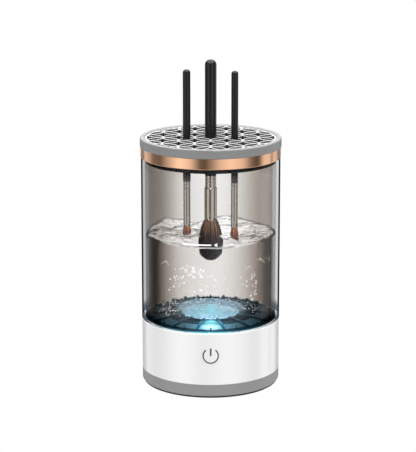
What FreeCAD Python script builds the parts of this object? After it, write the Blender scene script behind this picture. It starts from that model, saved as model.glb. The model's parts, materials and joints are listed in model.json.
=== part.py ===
"""Electric brush cleaner: a motor base, a lift-off clear cup with a spinning ribbed bowl, and a lid whose
lattice grille holds three makeup brushes upright.

Frame: millimetres, +Z up, origin on the floor under the centre of the round body, front of the object at -Y.
"""
import FreeCAD, Part
import math
import os
import re

import Sketcher
from FreeCAD import Placement, Rotation, Vector

# ---------------------------------------------------------------------------------------------------------
# Driving dimensions: millimetres and degrees, heights measured from the floor.
# ---------------------------------------------------------------------------------------------------------
DIMENSIONS = {
    # clear cup
    "cup_radius": 42.0, "cup_wall": 2.5, "cup_mouth": 145.7, "cup_floor_low": 32.4, "cup_floor": 2.4,
    "cup_spigot_radius": 39.6, "cup_spigot_wall": 1.1, "cup_step_low": 40.2, "cup_step_high": 41.2,
    "cup_spigot_round": 0.5, "cup_boss_radius": 6.0, "cup_boss_top": 36.6, "bush_radius": 4.0,
    "seal_height": 1.6,
    "band_low": 139.2, "band_seat_radius": 41.6, "band_radius": 42.35, "band_round": 0.3,
    # fill mark on the front of the cup
    "mark_height": 94.3, "mark_left": -16.6, "mark_length": 16.9, "mark_stroke": 0.75, "mark_relief": 0.15,
    "mark_arrow": 1.3, "mark_arrow_gap": 1.56,
    # rubber foot and bottom cover
    "foot_drop": 1.1, "foot_depth": 1.9, "foot_radius": 40.9, "foot_width": 4.0,
    "cover_radius": 41.9, "cover_top": 8.4, "cover_floor": 2.4, "cover_round": 0.8,
    "lip_height": 2.5, "lip_wall": 1.6, "lip_gap": 0.2,
    # white base shell with its sunk deck and the well for the coupling
    "base_top": 40.0, "shell_wall": 2.2, "shell_round": 0.5, "deck_top": 31.6, "deck_thickness": 2.0,
    "well_radius": 10.5, "well_wall": 1.6, "well_floor_top": 20.2, "well_floor": 1.4,
    # screw posts between the shell and the cover
    "post_circle": 31.5, "post_radius": 3.0, "post_low": 8.6, "boss_radius": 3.8,
    "screw_head_radius": 2.4, "screw_head": 1.6, "screw_radius": 1.15, "screw_length": 12.0,
    "sink_radius": 2.7, "sink_depth": 3.2, "screw_gap": 0.05,
    # flat motor hung under the well
    "motor_radius": 12.2, "motor_low": 6.5, "can_wall": 0.8, "cap_flange": 1.0, "cap_plug": 1.2,
    "collar_radius": 3.2, "collar_height": 1.2, "shaft_radius": 1.0, "shaft_low": 8.2, "shaft_top": 23.8,
    "rotor_radius": 9.2, "rotor_low": 9.6, "rotor_height": 7.6, "magnet_gap": 0.5, "magnet_low": 9.2,
    "magnet_height": 8.2, "motor_screw_offset": 6.0, "motor_screw_head_radius": 1.7,
    "motor_screw_head": 1.1, "motor_screw_radius": 0.95, "motor_screw_length": 2.1,
    "shaft_end_gap": 0.4, "terminal_offset": 4.0, "terminal_start": 8.0, "terminal_height": 1.5,
    "terminal_thickness": 0.6, "terminal_width": 2.2,
    # dog coupling between the motor and the bowl
    "coupler_radius": 8.0, "drive_disc_low": 21.8, "drive_disc": 2.2, "bowl_disc_low": 28.4,
    "bowl_disc": 2.8, "dog_inner": 3.6, "dog_outer": 7.6, "dog_half_angle": 20.0, "dog_gap": 0.3,
    # spindle and spinning bowl
    "spindle_radius": 2.0, "spindle_low": 28.2, "bearing_gap": 0.05,
    "bowl_radius": 38.0, "bowl_low": 39.4, "bowl_plate": 1.3, "bowl_rise": 1.2, "bowl_crest": 26.7,
    "bowl_hub_radius": 5.0, "bowl_hub_low": 37.2, "bowl_dish_radius": 17.6, "bowl_dish_depth": 1.1,
    "bowl_turn": 0.0, "rib_count": 14, "rib_width": 1.1, "rib_height": 1.0, "rib_root": 0.6,
    "rib_start": 17.9, "short_rib_start": 35.9, "tip_height": 1.7, "tip_length": 3.0, "tip_flat": 1.6,
    "tip_drop": 0.5, "panel_inner": 27.4, "panel_outer": 35.6, "panel_depth": 0.4,
    "disc_radius": 17.3, "disc_edge": 1.1, "disc_dome": 1.5,
    # electronics in the base
    "board_thickness": 1.6, "board_width": 28.0, "board_depth": 15.0, "board_front": 18.5,
    "board_low": 9.7, "board_post_x": 10.5, "board_post_y": 21.0, "board_post_radius": 2.4,
    "small_head_radius": 1.8, "small_head": 1.2, "small_radius": 0.9, "small_length": 5.0,
    "chip_width": 4.6, "chip_depth": 4.0, "chip_height": 1.4, "charger_x": -6.0, "driver_x": 1.4,
    "chip_y": 23.0, "can_radius": 2.2, "can_x": 10.4, "can_y": 28.5, "capacitor_height": 5.4,
    "inductor_height": 3.0,
    "usb_width": 8.94, "usb_height": 3.26, "usb_depth": 7.7, "usb_front": 33.6, "usb_wall": 0.3,
    "usb_gap": 0.3, "usb_back": 1.0, "usb_tongue_width": 6.7, "usb_tongue": 0.7, "usb_tongue_length": 5.9,
    "battery_width": 20.0, "battery_depth": 26.0, "battery_height": 6.6, "battery_x": -34.0,
    "battery_round": 1.6, "battery_pad": 0.2,
    "led_board_inner": 15.0, "led_board_outer": 27.0, "led_board_thickness": 0.3, "led_circle": 20.0,
    "led_front": 29.0, "led_width": 3.2, "led_height": 1.1, "guide_radius": 2.6, "guide_low": 30.8,
    "guide_top": 31.8, "lamp_tongue_width": 7.0, "lamp_tongue_reach": 31.6, "lamp_tongue_root": 17.0,
    # push button at the front
    "button_height": 26.5, "button_radius": 6.0, "button_gap": 0.06, "button_thickness": 1.8,
    "stem_radius": 1.6, "plunger_face": 36.6, "plunger_radius": 1.1, "plunger_gap": 0.2,
    "plunger_length": 2.6, "switch_face": 35.6, "switch_width": 4.5, "switch_depth": 3.5,
    "switch_board_width": 14.0,
    "switch_board_low": 14.9, "switch_board_height": 13.8,
    "icon_radius": 4.5, "icon_stroke": 0.8, "icon_opening": 42.0, "icon_bar": 4.7, "icon_bar_width": 1.0,
    "icon_inlay": 0.5, "icon_relief": 0.02,
    # lid
    "lid_radius": 42.6, "lid_top": 151.1, "lid_round": 0.8, "grille_seat_radius": 39.4,
    "skirt_outer": 37.8, "skirt_wall": 1.2, "skirt_low": 137.6, "seal_low": 136.3, "seal_top": 144.8,
    "seal_body_radius": 38.9, "seal_lip_radius": 39.4, "seal_lip": 0.9,
    "grille_top": 150.5, "grille_depth": 4.1, "grille_rim": 1.1, "circle_radius": 9.55, "rib_thickness": 0.9,
    # all brushes
    "tube_wall": 0.35, "tenon_length": 7.0, "tuft_root": 9.0, "handle_flat": 0.3, "crimp_width": 0.7,
    "crimp_slope": 0.2, "crimp_depth": 0.22, "crimp_step": 2.1,
    # brush in the middle: its tube narrows to a neck, its tuft is a long drop
    "center_handle_radius": 3.5, "center_top": 197.6, "center_tube_radius": 3.85,
    "center_neck_radius": 3.4, "center_ferrule_top": 127.4, "center_shoulder": 119.5,
    "center_shoulder_height": 0.6, "center_ferrule_low": 99.8, "center_crimp_top": 125.7,
    "drop_radius": 7.25, "drop_widest": 85.9, "drop_upper_radius": 6.0, "drop_upper": 92.9,
    "drop_lower_radius": 6.6, "drop_lower": 79.9, "drop_end_radius": 4.2, "drop_end": 76.0, "drop_tip": 74.4,
    # slim brushes at the sides, with slanted tufts
    "side_brush_x": 14.325, "side_brush_y": -4.775, "side_tube_radius": 2.15, "side_tuft_radius": 2.6,
    "side_crimp_drop": 1.6, "slant_height": 1.3,
    "left_handle_radius": 2.3, "left_top": 192.4, "left_ferrule_top": 124.7, "left_ferrule_low": 97.2,
    "left_tuft_low": 90.6, "left_slant": -13.0,
    "right_handle_radius": 2.1, "right_top": 191.5, "right_ferrule_top": 123.7, "right_ferrule_low": 96.3,
    "right_tuft_low": 87.7, "right_slant": 26.0,
}

document = FreeCAD.newDocument("brush_cleaner")
sheet = document.addObject("Spreadsheet::Sheet", "Dims")
for row, (alias, size) in enumerate(DIMENSIONS.items(), 1):
    sheet.set("A%d" % row, alias)
    sheet.set("B%d" % row, str(size))
    sheet.setAlias("B%d" % row, alias)
document.recompute()


# ---------------------------------------------------------------------------------------------------------
# Small tools: expressions over the sheet, sketches, turned bodies, primitives
# ---------------------------------------------------------------------------------------------------------
def expand(expression):
    """Adds the sheet's name in front of every alias in an expression."""
    return re.sub(r"[a-z]\w*", lambda word: "Dims." * (word.group() in DIMENSIONS) + word.group(), expression)


def number(expression):
    """The value of an expression over the sheet, as a plain number."""
    result = sheet.evalExpression(expand(expression))
    return float(getattr(result, "Value", result))


def bind(piece, prop, expression):
    piece.setExpression(prop, expand(expression))


def settle(piece, place, rotation=Rotation()):
    """Puts a piece at a place given by three expressions, and keeps it bound to them."""
    piece.Placement = Placement(Vector(*[number(part) for part in place]), rotation)
    for axis, part in zip("xyz", place):
        bind(piece, "Placement.Base." + axis, part)
    return piece


def new_body(name, place=None, turn=0.0):
    body = document.addObject("PartDesign::Body", name)
    if place:
        settle(body, place, Rotation(Vector(0, 0, 1), turn))
    return body


def new_sketch(body, plane, height="0"):
    """An empty sketch on one of the body's own origin planes, raised along the plane's normal."""
    sketch = body.newObject("Sketcher::SketchObject", body.Name + "_sketch")
    origin_plane = next(item for item in body.Origin.OriginFeatures if item.Role == plane)
    sketch.AttachmentSupport = [(origin_plane, "")]
    sketch.MapMode = "FlatFace"
    bind(sketch, "AttachmentOffset.Base.z", height)
    return sketch


def pin(sketch, curve, end, place):
    """Holds one point of a curve at a place given by two expressions, measured from the sketch's origin."""
    for kind, axis, part in zip(("DistanceX", "DistanceY"), (-2, -1), place):
        value = number(part)
        if abs(value) < 1e-9:
            sketch.addConstraint(Sketcher.Constraint("PointOnObject", curve, end, axis))
        else:
            which = sketch.addConstraint(Sketcher.Constraint(kind, -1, 1, curve, end, value))
            bind(sketch, "Constraints[%d]" % which, part)


def draw_polygon(sketch, places):
    """A closed outline of straight lines through the places."""
    corners = [Vector(number(across), number(up), 0) for across, up in places]
    first = sketch.GeometryCount
    count = len(corners)
    for index in range(count):
        sketch.addGeometry(Part.LineSegment(corners[index], corners[(index + 1) % count]))
    for index in range(count):
        following = first + (index + 1) % count
        sketch.addConstraint(Sketcher.Constraint("Coincident", first + index, 2, following, 1))
    for index, place in enumerate(places):
        pin(sketch, first + index, 1, place)


def draw_circle(sketch, place, radius):
    centre = Vector(number(place[0]), number(place[1]), 0)
    circle = sketch.addGeometry(Part.Circle(centre, Vector(0, 0, 1), number(radius)))
    pin(sketch, circle, 3, place)
    which = sketch.addConstraint(Sketcher.Constraint("Radius", circle, number(radius)))
    bind(sketch, "Constraints[%d]" % which, radius)


def turned(name, outline, place=None, turn=0.0):
    """A body made by turning an outline of (radius, height) places a full circle about its Z axis."""
    body = new_body(name, place, turn)
    sketch = new_sketch(body, "XZ_Plane")
    draw_polygon(sketch, outline)
    solid = body.newObject("PartDesign::Revolution", body.Name + "_turned")
    solid.Profile = sketch
    solid.ReferenceAxis = (sketch, ["V_Axis"])
    solid.Angle = 360
    body.Tip = solid
    document.recompute()
    return body


def finish_feature(body, feature):
    """Makes a feature the body's tip, and refuses one that changed nothing."""
    body.Tip = feature
    document.recompute()
    if abs(feature.Shape.Volume - feature.BaseFeature.Shape.Volume) < 1e-6:
        raise RuntimeError(feature.Name + " changes nothing")
    return feature


def pad(body, sketch, length, both_ways=False):
    feature = body.newObject("PartDesign::Pad", body.Name + "_pad")
    feature.Profile = sketch
    feature.Midplane = both_ways
    bind(feature, "Length", length)
    return finish_feature(body, feature)


def pocket_up(body, sketch, depth):
    """Cuts along the sketch's normal, so upwards from a sketch on the XY plane."""
    feature = body.newObject("PartDesign::Pocket", body.Name + "_pocket")
    feature.Profile = sketch
    feature.Reversed = True
    bind(feature, "Length", depth)
    return finish_feature(body, feature)


def repeat_round(body, features, count, sketch):
    """Repeats features round the Z axis, which is the normal of any sketch on the XY plane."""
    pattern = body.newObject("PartDesign::PolarPattern", body.Name + "_pattern")
    pattern.Originals = features
    pattern.Axis = (sketch, ["N_Axis"])
    pattern.Angle = 360
    bind(pattern, "Occurrences", count)
    return finish_feature(body, pattern)


def round_rims(body, rims, radius):
    """Rounds the circular edges of a turned body that lie at the (radius, height) places in rims."""
    base = body.Tip
    wanted = [(number(across), number(up)) for across, up in rims]
    names = []
    for index, edge in enumerate(base.Shape.Edges, 1):
        if not isinstance(edge.Curve, Part.Circle):
            continue
        for across, up in wanted:
            if abs(edge.Curve.Radius - across) < 1e-4 and abs(edge.Curve.Center.z - up) < 1e-4:
                names.append("Edge%d" % index)
    feature = body.newObject("PartDesign::Fillet", body.Name + "_round")
    feature.Base = (base, names)
    bind(feature, "Radius", radius)
    return finish_feature(body, feature)


ALONG_Y = Rotation(Vector(1, 0, 0), -90)


def cylinder(name, radius, height, place, rotation=Rotation()):
    rod = document.addObject("Part::Cylinder", name)
    bind(rod, "Radius", radius)
    bind(rod, "Height", height)
    return settle(rod, place, rotation)


def box(name, sizes, corner):
    """A box from its lowest corner, with its sizes along X, Y and Z."""
    block = document.addObject("Part::Box", name)
    for prop, size in zip(("Length", "Width", "Height"), sizes):
        bind(block, prop, size)
    return settle(block, corner)


def cut(name, base, tool):
    result = document.addObject("Part::Cut", name)
    result.Base = base
    result.Tool = tool
    return result


def common(name, base, tool):
    result = document.addObject("Part::Common", name)
    result.Base = base
    result.Tool = tool
    return result


def fuse(name, pieces):
    result = document.addObject("Part::MultiFuse", name)
    result.Shapes = pieces
    return result


def group(name, pieces):
    """Separate identical pieces that share one node."""
    result = document.addObject("Part::Compound", name)
    result.Links = pieces
    return result


def ring(name, inner, outer, low, height):
    top = low + " + " + height
    return turned(name, [(inner, low), (outer, low), (outer, top), (inner, top)])


def screw(name, place, head_radius, head, shank_radius, shank, upwards):
    """A pan-head screw whose head seats at the place, with its shank going up or down."""
    across, along, seat = place
    if upwards:
        head_low = seat + " - " + head
        shank_low = seat
    else:
        head_low = seat
        shank_low = seat + " - " + shank
    head_piece = cylinder(name + "_head", head_radius, head, (across, along, head_low))
    shank_piece = cylinder(name + "_shank", shank_radius, shank, (across, along, shank_low))
    return fuse(name, [head_piece, shank_piece])


def round_places(circle, count, first_degrees):
    """Places on a circle about Z, as pairs of expressions."""
    angles = [first_degrees + index * 360.0 / count for index in range(count)]
    return [("%s * cos(%g deg)" % (circle, angle), "%s * sin(%g deg)" % (circle, angle)) for angle in angles]


# ---------------------------------------------------------------------------------------------------------
# Base: foot, bottom cover, white shell
# ---------------------------------------------------------------------------------------------------------
POSTS = round_places("post_circle", 4, 45)
BOARD_POSTS = [("board_post_x", "board_post_y"), ("-board_post_x", "board_post_y")]
COVER_INSIDE = "foot_drop + cover_floor"
SCREW_SEAT = "foot_drop + sink_depth"
MOTOR_TOP = "well_floor_top - well_floor"
DECK_LOW = "deck_top - deck_thickness"
SHELL_INSIDE = "cup_radius - shell_wall"
FRONT_LED = ("0", "-led_front")
LED_PLACES = round_places("led_circle", 3, 90) + [FRONT_LED]


def make_foot():
    return ring("foot_ring", "foot_radius - foot_width", "foot_radius", "0", "foot_depth")


def make_bottom_cover():
    """A shallow round tray with a groove for the foot, a lip that enters the shell and screw bosses."""
    foot_inside = "foot_radius - foot_width"
    lip_outside = SHELL_INSIDE + " - lip_gap"
    lip_inside = lip_outside + " - lip_wall"
    lip_top = "cover_top + lip_height"
    body = turned("bottom_cover", [
        ("0", "foot_drop"), (foot_inside, "foot_drop"), (foot_inside, "foot_depth"),
        ("foot_radius", "foot_depth"), ("foot_radius", "foot_drop"), ("cover_radius", "foot_drop"),
        ("cover_radius", "cover_top"), (lip_outside, "cover_top"), (lip_outside, lip_top),
        (lip_inside, lip_top), (lip_inside, COVER_INSIDE), ("0", COVER_INSIDE)])
    round_rims(body, [("cover_radius", "foot_drop")], "cover_round")
    sketch = new_sketch(body, "XY_Plane", "foot_drop + cover_floor / 2")
    for place in POSTS:
        draw_circle(sketch, place, "boss_radius")
    pad(body, sketch, "post_low - foot_drop - cover_floor / 2")
    sketch = new_sketch(body, "XY_Plane", "foot_drop + cover_floor / 2")
    for place in BOARD_POSTS:
        draw_circle(sketch, place, "board_post_radius")
    pad(body, sketch, "board_low - foot_drop - cover_floor / 2")
    sketch = new_sketch(body, "XY_Plane", "foot_drop")
    for place in POSTS:
        draw_circle(sketch, place, "sink_radius")
    pocket_up(body, sketch, "sink_depth")
    sketch = new_sketch(body, "XY_Plane", "foot_drop")
    for place in POSTS:
        draw_circle(sketch, place, "screw_radius + screw_gap")
    pocket_up(body, sketch, "post_low")
    sketch = new_sketch(body, "XY_Plane", COVER_INSIDE)
    for place in BOARD_POSTS:
        draw_circle(sketch, place, "small_radius + screw_gap")
    pocket_up(body, sketch, "board_low")
    return body


def make_base_shell():
    """The white outer wall, the sunk deck that the cup stands over, the well of the coupling and the
    screw posts, in one moulding."""
    body = turned("base_moulding", [
        ("cup_radius", "cover_top"), ("cup_radius", "base_top"), (SHELL_INSIDE, "base_top"),
        (SHELL_INSIDE, "deck_top"), ("well_radius", "deck_top"), ("well_radius", "well_floor_top"),
        ("collar_radius + 2 * screw_gap", "well_floor_top"), ("collar_radius + 2 * screw_gap", MOTOR_TOP),
        ("well_radius + well_wall", MOTOR_TOP), ("well_radius + well_wall", DECK_LOW),
        (SHELL_INSIDE, DECK_LOW), (SHELL_INSIDE, "cover_top")])
    round_rims(body, [("cup_radius", "base_top")], "shell_round")
    sketch = new_sketch(body, "XY_Plane", "post_low")
    for place in POSTS:
        draw_circle(sketch, place, "post_radius")
    pad(body, sketch, DECK_LOW + " - post_low")
    sketch = new_sketch(body, "XY_Plane", "post_low")
    for place in POSTS:
        draw_circle(sketch, place, "screw_radius + screw_gap")
    pocket_up(body, sketch, "screw_length")
    sketch = new_sketch(body, "XY_Plane", MOTOR_TOP)
    for across in ("motor_screw_offset", "-motor_screw_offset"):
        draw_circle(sketch, (across, "0"), "motor_screw_radius + screw_gap")
    pocket_up(body, sketch, "well_floor")
    sketch = new_sketch(body, "XY_Plane", DECK_LOW)
    for place in LED_PLACES:
        draw_circle(sketch, place, "guide_radius")
    pocket_up(body, sketch, "deck_thickness")
    button_hole = cylinder("button_hole", "button_radius + button_gap", "1.5 * shell_wall",
                           ("0", "-cup_radius - 0.2 * shell_wall", "button_height"), ALONG_Y)
    usb_hole = box("usb_hole", ("usb_width + 2 * usb_gap", "2 * shell_wall", "usb_height + 2 * usb_gap"),
                   ("-usb_width / 2 - usb_gap", "cup_radius - 1.5 * shell_wall",
                    "board_low + board_thickness - usb_gap"))
    return cut("base_shell", body, fuse("shell_side_holes", [button_hole, usb_hole]))


def make_cover_screws():
    screws = []
    for index, (across, along) in enumerate(POSTS):
        screws.append(screw("cover_screw_%d" % index, (across, along, SCREW_SEAT), "screw_head_radius",
                            "screw_head", "screw_radius", "screw_length", upwards=True))
    return group("cover_screws", screws)


# ---------------------------------------------------------------------------------------------------------
# Motor: can, end cap, magnet, rotor, shaft, terminals, screws
# ---------------------------------------------------------------------------------------------------------
def make_motor():
    inside = "motor_radius - can_wall"
    flange_top = "motor_low + cap_flange"
    plug_top = flange_top + " + cap_plug"
    can = turned("motor_can", [
        ("shaft_radius + bearing_gap", MOTOR_TOP + " + collar_height"),
        ("collar_radius", MOTOR_TOP + " + collar_height"), ("collar_radius", MOTOR_TOP),
        ("motor_radius", MOTOR_TOP), ("motor_radius", flange_top), (inside, flange_top),
        (inside, MOTOR_TOP + " - can_wall"), ("shaft_radius + bearing_gap", MOTOR_TOP + " - can_wall")])
    sketch = new_sketch(can, "XY_Plane", MOTOR_TOP + " - can_wall")
    for across in ("motor_screw_offset", "-motor_screw_offset"):
        draw_circle(sketch, (across, "0"), "motor_screw_radius + screw_gap")
    pocket_up(can, sketch, "can_wall")
    recess = "2 * shaft_radius"
    recess_floor = "shaft_low - shaft_end_gap"
    end_cap = turned("motor_end_cap", [
        ("0", "motor_low"), ("motor_radius", "motor_low"), ("motor_radius", flange_top),
        (inside + " - screw_gap", flange_top), (inside + " - screw_gap", plug_top), (recess, plug_top),
        (recess, recess_floor), ("0", recess_floor)])
    magnet = ring("motor_magnet", "rotor_radius + magnet_gap", inside + " - screw_gap", "magnet_low",
                  "magnet_height")
    terminals = []
    for side, across in (("left", "-terminal_offset"), ("right", "terminal_offset")):
        terminals.append(box("terminal_" + side, ("terminal_thickness", "terminal_width", "terminal_height"),
                             (across + " - terminal_thickness / 2", "terminal_start",
                              "motor_low - terminal_height")))
    screws = []
    for side, across in (("left", "-motor_screw_offset"), ("right", "motor_screw_offset")):
        screws.append(screw("motor_screw_" + side, (across, "0", "well_floor_top"), "motor_screw_head_radius",
                            "motor_screw_head", "motor_screw_radius", "motor_screw_length", upwards=False))
    return [can, end_cap, magnet, group("motor_terminals", terminals), group("motor_screws", screws)]


def make_rotor_and_shaft():
    rotor = ring("motor_rotor", "shaft_radius", "rotor_radius", "rotor_low", "rotor_height")
    shaft = turned("motor_shaft", [("0", "shaft_low"), ("shaft_radius", "shaft_low"),
                                   ("shaft_radius", "shaft_top"), ("0", "shaft_top")])
    return [rotor, shaft]


def make_coupler(name, bore, disc_low, disc, dog_low, dog_height, first_degrees):
    """Half of the dog coupling: a bored disc with three dogs that mesh with those of the other half."""
    disc_top = disc_low + " + " + disc
    body = turned(name, [(bore, disc_low), ("coupler_radius", disc_low), ("coupler_radius", disc_top),
                         (bore, disc_top)], ("0", "0", "0"), first_degrees)
    sketch = new_sketch(body, "XY_Plane", dog_low)
    places = []
    for radius, sign in (("dog_inner", "-"), ("dog_outer", "-"), ("dog_outer", ""), ("dog_inner", "")):
        places.append((radius + " * cos(dog_half_angle * 1 deg)",
                       sign + radius + " * sin(dog_half_angle * 1 deg)"))
    draw_polygon(sketch, places)
    dog = pad(body, sketch, dog_height)
    repeat_round(body, [dog], "3", sketch)
    return body


def make_couplers():
    drive_disc_top = "drive_disc_low + drive_disc"
    drive = make_coupler("drive_coupler", "shaft_radius", "drive_disc_low", "drive_disc", drive_disc_top,
                         "bowl_disc_low - drive_disc_low - drive_disc - dog_gap", 0)
    bowl_dog_low = drive_disc_top + " + dog_gap"
    bowl = make_coupler("spinner_coupler", "spindle_radius", "bowl_disc_low", "bowl_disc", bowl_dog_low,
                        "bowl_disc_low - drive_disc_low - drive_disc - dog_gap", 60)
    return [drive, bowl]


# ---------------------------------------------------------------------------------------------------------
# Electronics: main board, USB socket, battery, lamp board, switch and button
# ---------------------------------------------------------------------------------------------------------
def make_main_board():
    board_top = "board_low + board_thickness"
    plate = box("board_plate", ("board_width", "board_depth", "board_thickness"),
                ("-board_width / 2", "board_front", "board_low"))
    holes = [cylinder("board_hole_%d" % index, "small_radius + screw_gap", "2 * board_thickness",
                      (across, along, "board_low - board_thickness / 2"))
             for index, (across, along) in enumerate(BOARD_POSTS)]
    board = cut("main_board", plate, fuse("board_holes", holes))
    chip = ("chip_width", "chip_depth", "chip_height")
    charger = box("charger_chip", chip, ("charger_x", "chip_y", board_top))
    driver = box("driver_chip", chip, ("driver_x", "chip_y", board_top))
    capacitor = cylinder("capacitor", "can_radius", "capacitor_height", ("-can_x", "can_y", board_top))
    inductor = cylinder("inductor", "can_radius", "inductor_height", ("can_x", "can_y", board_top))
    screws = [screw("board_screw_%d" % index, (across, along, board_top), "small_head_radius", "small_head",
                    "small_radius", "small_length", upwards=False)
              for index, (across, along) in enumerate(BOARD_POSTS)]
    parts = group("board_components", [charger, driver, capacitor, inductor])
    return [board, parts, group("board_screws", screws)]


def make_usb_socket():
    """A USB-C socket: a thin metal shell, open at the back wall of the base, with its tongue inside."""
    low = "board_low + board_thickness"
    outside = box("usb_outside", ("usb_width", "usb_depth", "usb_height"),
                  ("-usb_width / 2", "usb_front", low))
    inside = box("usb_inside", ("usb_width - 2 * usb_wall", "usb_depth", "usb_height - 2 * usb_wall"),
                 ("-usb_width / 2 + usb_wall", "usb_front + usb_back", low + " + usb_wall"))
    tongue = box("usb_tongue", ("usb_tongue_width", "usb_tongue_length", "usb_tongue"),
                 ("-usb_tongue_width / 2", "usb_front + usb_back / 2",
                  low + " + usb_height / 2 - usb_tongue / 2"))
    return fuse("usb_socket", [cut("usb_shell", outside, inside), tongue])


def make_battery():
    pouch = box("battery_pouch", ("battery_width", "battery_depth", "battery_height"),
                ("battery_x", "-battery_depth / 2", COVER_INSIDE + " + battery_pad"))
    document.recompute()
    edges = []
    for index, edge in enumerate(pouch.Shape.Edges, 1):
        direction = edge.Vertexes[1].Point - edge.Vertexes[0].Point
        if abs(direction.y) > abs(direction.x) + abs(direction.z):
            edges.append((index, number("battery_round"), number("battery_round")))
    pack = document.addObject("Part::Fillet", "battery_pack")
    pack.Base = pouch
    pack.Edges = edges
    return pack


def make_lamps():
    """A thin lamp board under the deck, its light-emitting diodes in the deck's holes and their windows."""
    board_low = DECK_LOW + " - led_board_thickness"
    disc = ring("lamp_disc", "led_board_inner", "led_board_outer", board_low, "led_board_thickness")
    tongue = box("lamp_tongue", ("lamp_tongue_width", "lamp_tongue_reach - lamp_tongue_root",
                                 "led_board_thickness"),
                 ("-lamp_tongue_width / 2", "-lamp_tongue_reach", board_low))
    lamps = []
    windows = []
    for index, (across, along) in enumerate(LED_PLACES):
        lamps.append(box("lamp_%d" % index, ("led_width", "led_width", "led_height"),
                         (across + " - led_width / 2", along + " - led_width / 2", DECK_LOW)))
        windows.append(cylinder("window_%d" % index, "guide_radius", "guide_top - guide_low",
                                (across, along, "guide_low")))
    return [fuse("led_board", [disc, tongue]), group("led_emitters", lamps), group("light_windows", windows)]


def make_switch():
    board = box("switch_board", ("switch_board_width", "board_thickness", "switch_board_height"),
                ("-switch_board_width / 2", "-switch_face + switch_depth", "switch_board_low"))
    case = box("switch_case", ("switch_width", "switch_depth", "switch_width"),
               ("-switch_width / 2", "-switch_face", "button_height - switch_width / 2"))
    bore = cylinder("switch_bore", "plunger_radius + plunger_gap", "plunger_length",
                    ("0", "-switch_face - plunger_gap", "button_height"), ALONG_Y)
    plunger = cylinder("switch_plunger", "plunger_radius", "plunger_length",
                       ("0", "-plunger_face", "button_height"), ALONG_Y)
    return [board, cut("tact_switch", case, bore), plunger]


def icon_face():
    """The standby sign, flat in the XZ plane: a ring open at its top and a bar through the opening."""
    middle = number("icon_radius")
    half = number("icon_stroke") / 2
    opening = math.radians(number("icon_opening"))

    def spot(radius, angle):
        return Vector(radius * math.sin(angle), 0, radius * math.cos(angle))

    last = 2 * math.pi - opening
    outer = Part.Arc(spot(middle + half, opening), spot(middle + half, math.pi), spot(middle + half, last))
    inner = Part.Arc(spot(middle - half, opening), spot(middle - half, math.pi), spot(middle - half, last))
    ends = []
    for angle, side in ((opening, -1), (last, 1)):
        beyond = spot(middle, angle + side * half / middle)
        ends.append(Part.Arc(spot(middle + half, angle), beyond, spot(middle - half, angle)))
    sign = Part.Face(Part.Wire(Part.__sortEdges__([curve.toShape() for curve in [outer, inner] + ends])))
    bar_half = number("icon_bar_width") / 2
    bar_top = number("icon_bar")
    corners = [Vector(-bar_half, 0, 0), Vector(bar_half, 0, 0), Vector(bar_half, 0, bar_top),
               Vector(-bar_half, 0, bar_top)]
    bar = Part.Face(Part.makePolygon(corners + corners[:1]))
    return sign, bar


def make_button():
    """A round cap flush with the shell's curved wall, with the standby sign inlaid in its face."""
    height = number("button_height")
    outside = number("cup_radius")
    thickness = number("button_thickness")
    plug = Part.makeCylinder(number("button_radius"), 2 * thickness,
                             Vector(0, -outside - thickness / 2, height), Vector(0, 1, 0))
    tall = 2 * height
    wall = Part.makeCylinder(outside, tall).cut(Part.makeCylinder(outside - thickness, tall))
    stem_start = outside - thickness / 2
    stem = Part.makeCylinder(number("stem_radius"), stem_start - number("plunger_face"),
                             Vector(0, -stem_start, height), Vector(0, 1, 0))
    sign, bar = icon_face()
    solids = []
    for face in (sign, bar):
        face.translate(Vector(0, -outside - thickness, height))
        solid = face.extrude(Vector(0, 2 * thickness, 0))
        solids.append(solid)
    inlay_inside = Part.makeCylinder(outside - number("icon_inlay"), tall)
    inlay = Part.makeCylinder(outside + number("icon_relief"), tall).cut(inlay_inside)
    icon_shape = Part.makeCompound([inlay.common(solid) for solid in solids])
    cap = document.addObject("Part::Feature", "button_cap")
    cap.Shape = plug.common(wall).fuse(stem).cut(icon_shape).removeSplitter()
    icon = document.addObject("Part::Feature", "power_icon")
    icon.Shape = icon_shape
    return [cap, icon]


# ---------------------------------------------------------------------------------------------------------
# Cup: clear wall with its own floor, trim band, bearing, seal and fill mark
# ---------------------------------------------------------------------------------------------------------
def make_cup():
    inside = "cup_radius - cup_wall"
    spigot_inside = "cup_spigot_radius - cup_spigot_wall"
    floor_top = "cup_floor_low + cup_floor"
    cup = turned("cup_body", [
        ("bush_radius", "cup_floor_low"), ("cup_spigot_radius", "cup_floor_low"),
        ("cup_spigot_radius", "base_top"), ("cup_radius", "base_top"), ("cup_radius", "band_low"),
        ("band_seat_radius", "band_low"), ("band_seat_radius", "cup_mouth"), (inside, "cup_mouth"),
        (inside, "cup_step_high"), (spigot_inside, "cup_step_low"), (spigot_inside, floor_top),
        ("cup_boss_radius", floor_top), ("cup_boss_radius", "cup_boss_top"), ("bush_radius", "cup_boss_top")])
    round_rims(cup, [("cup_spigot_radius", "cup_floor_low"), (spigot_inside, floor_top)], "cup_spigot_round")
    band = ring("rose_gold_ring", "band_seat_radius", "band_radius", "band_low", "cup_mouth - band_low")
    round_rims(band, [("band_radius", "band_low"), ("band_radius", "cup_mouth")], "band_round")
    bore = "spindle_radius + bearing_gap"
    bush = ring("spindle_bush", bore, "bush_radius", "cup_floor_low",
                "cup_boss_top - seal_height - cup_floor_low")
    seal = ring("shaft_seal", bore, "bush_radius", "cup_boss_top - seal_height", "seal_height")
    return [cup, band, bush, seal]


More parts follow.
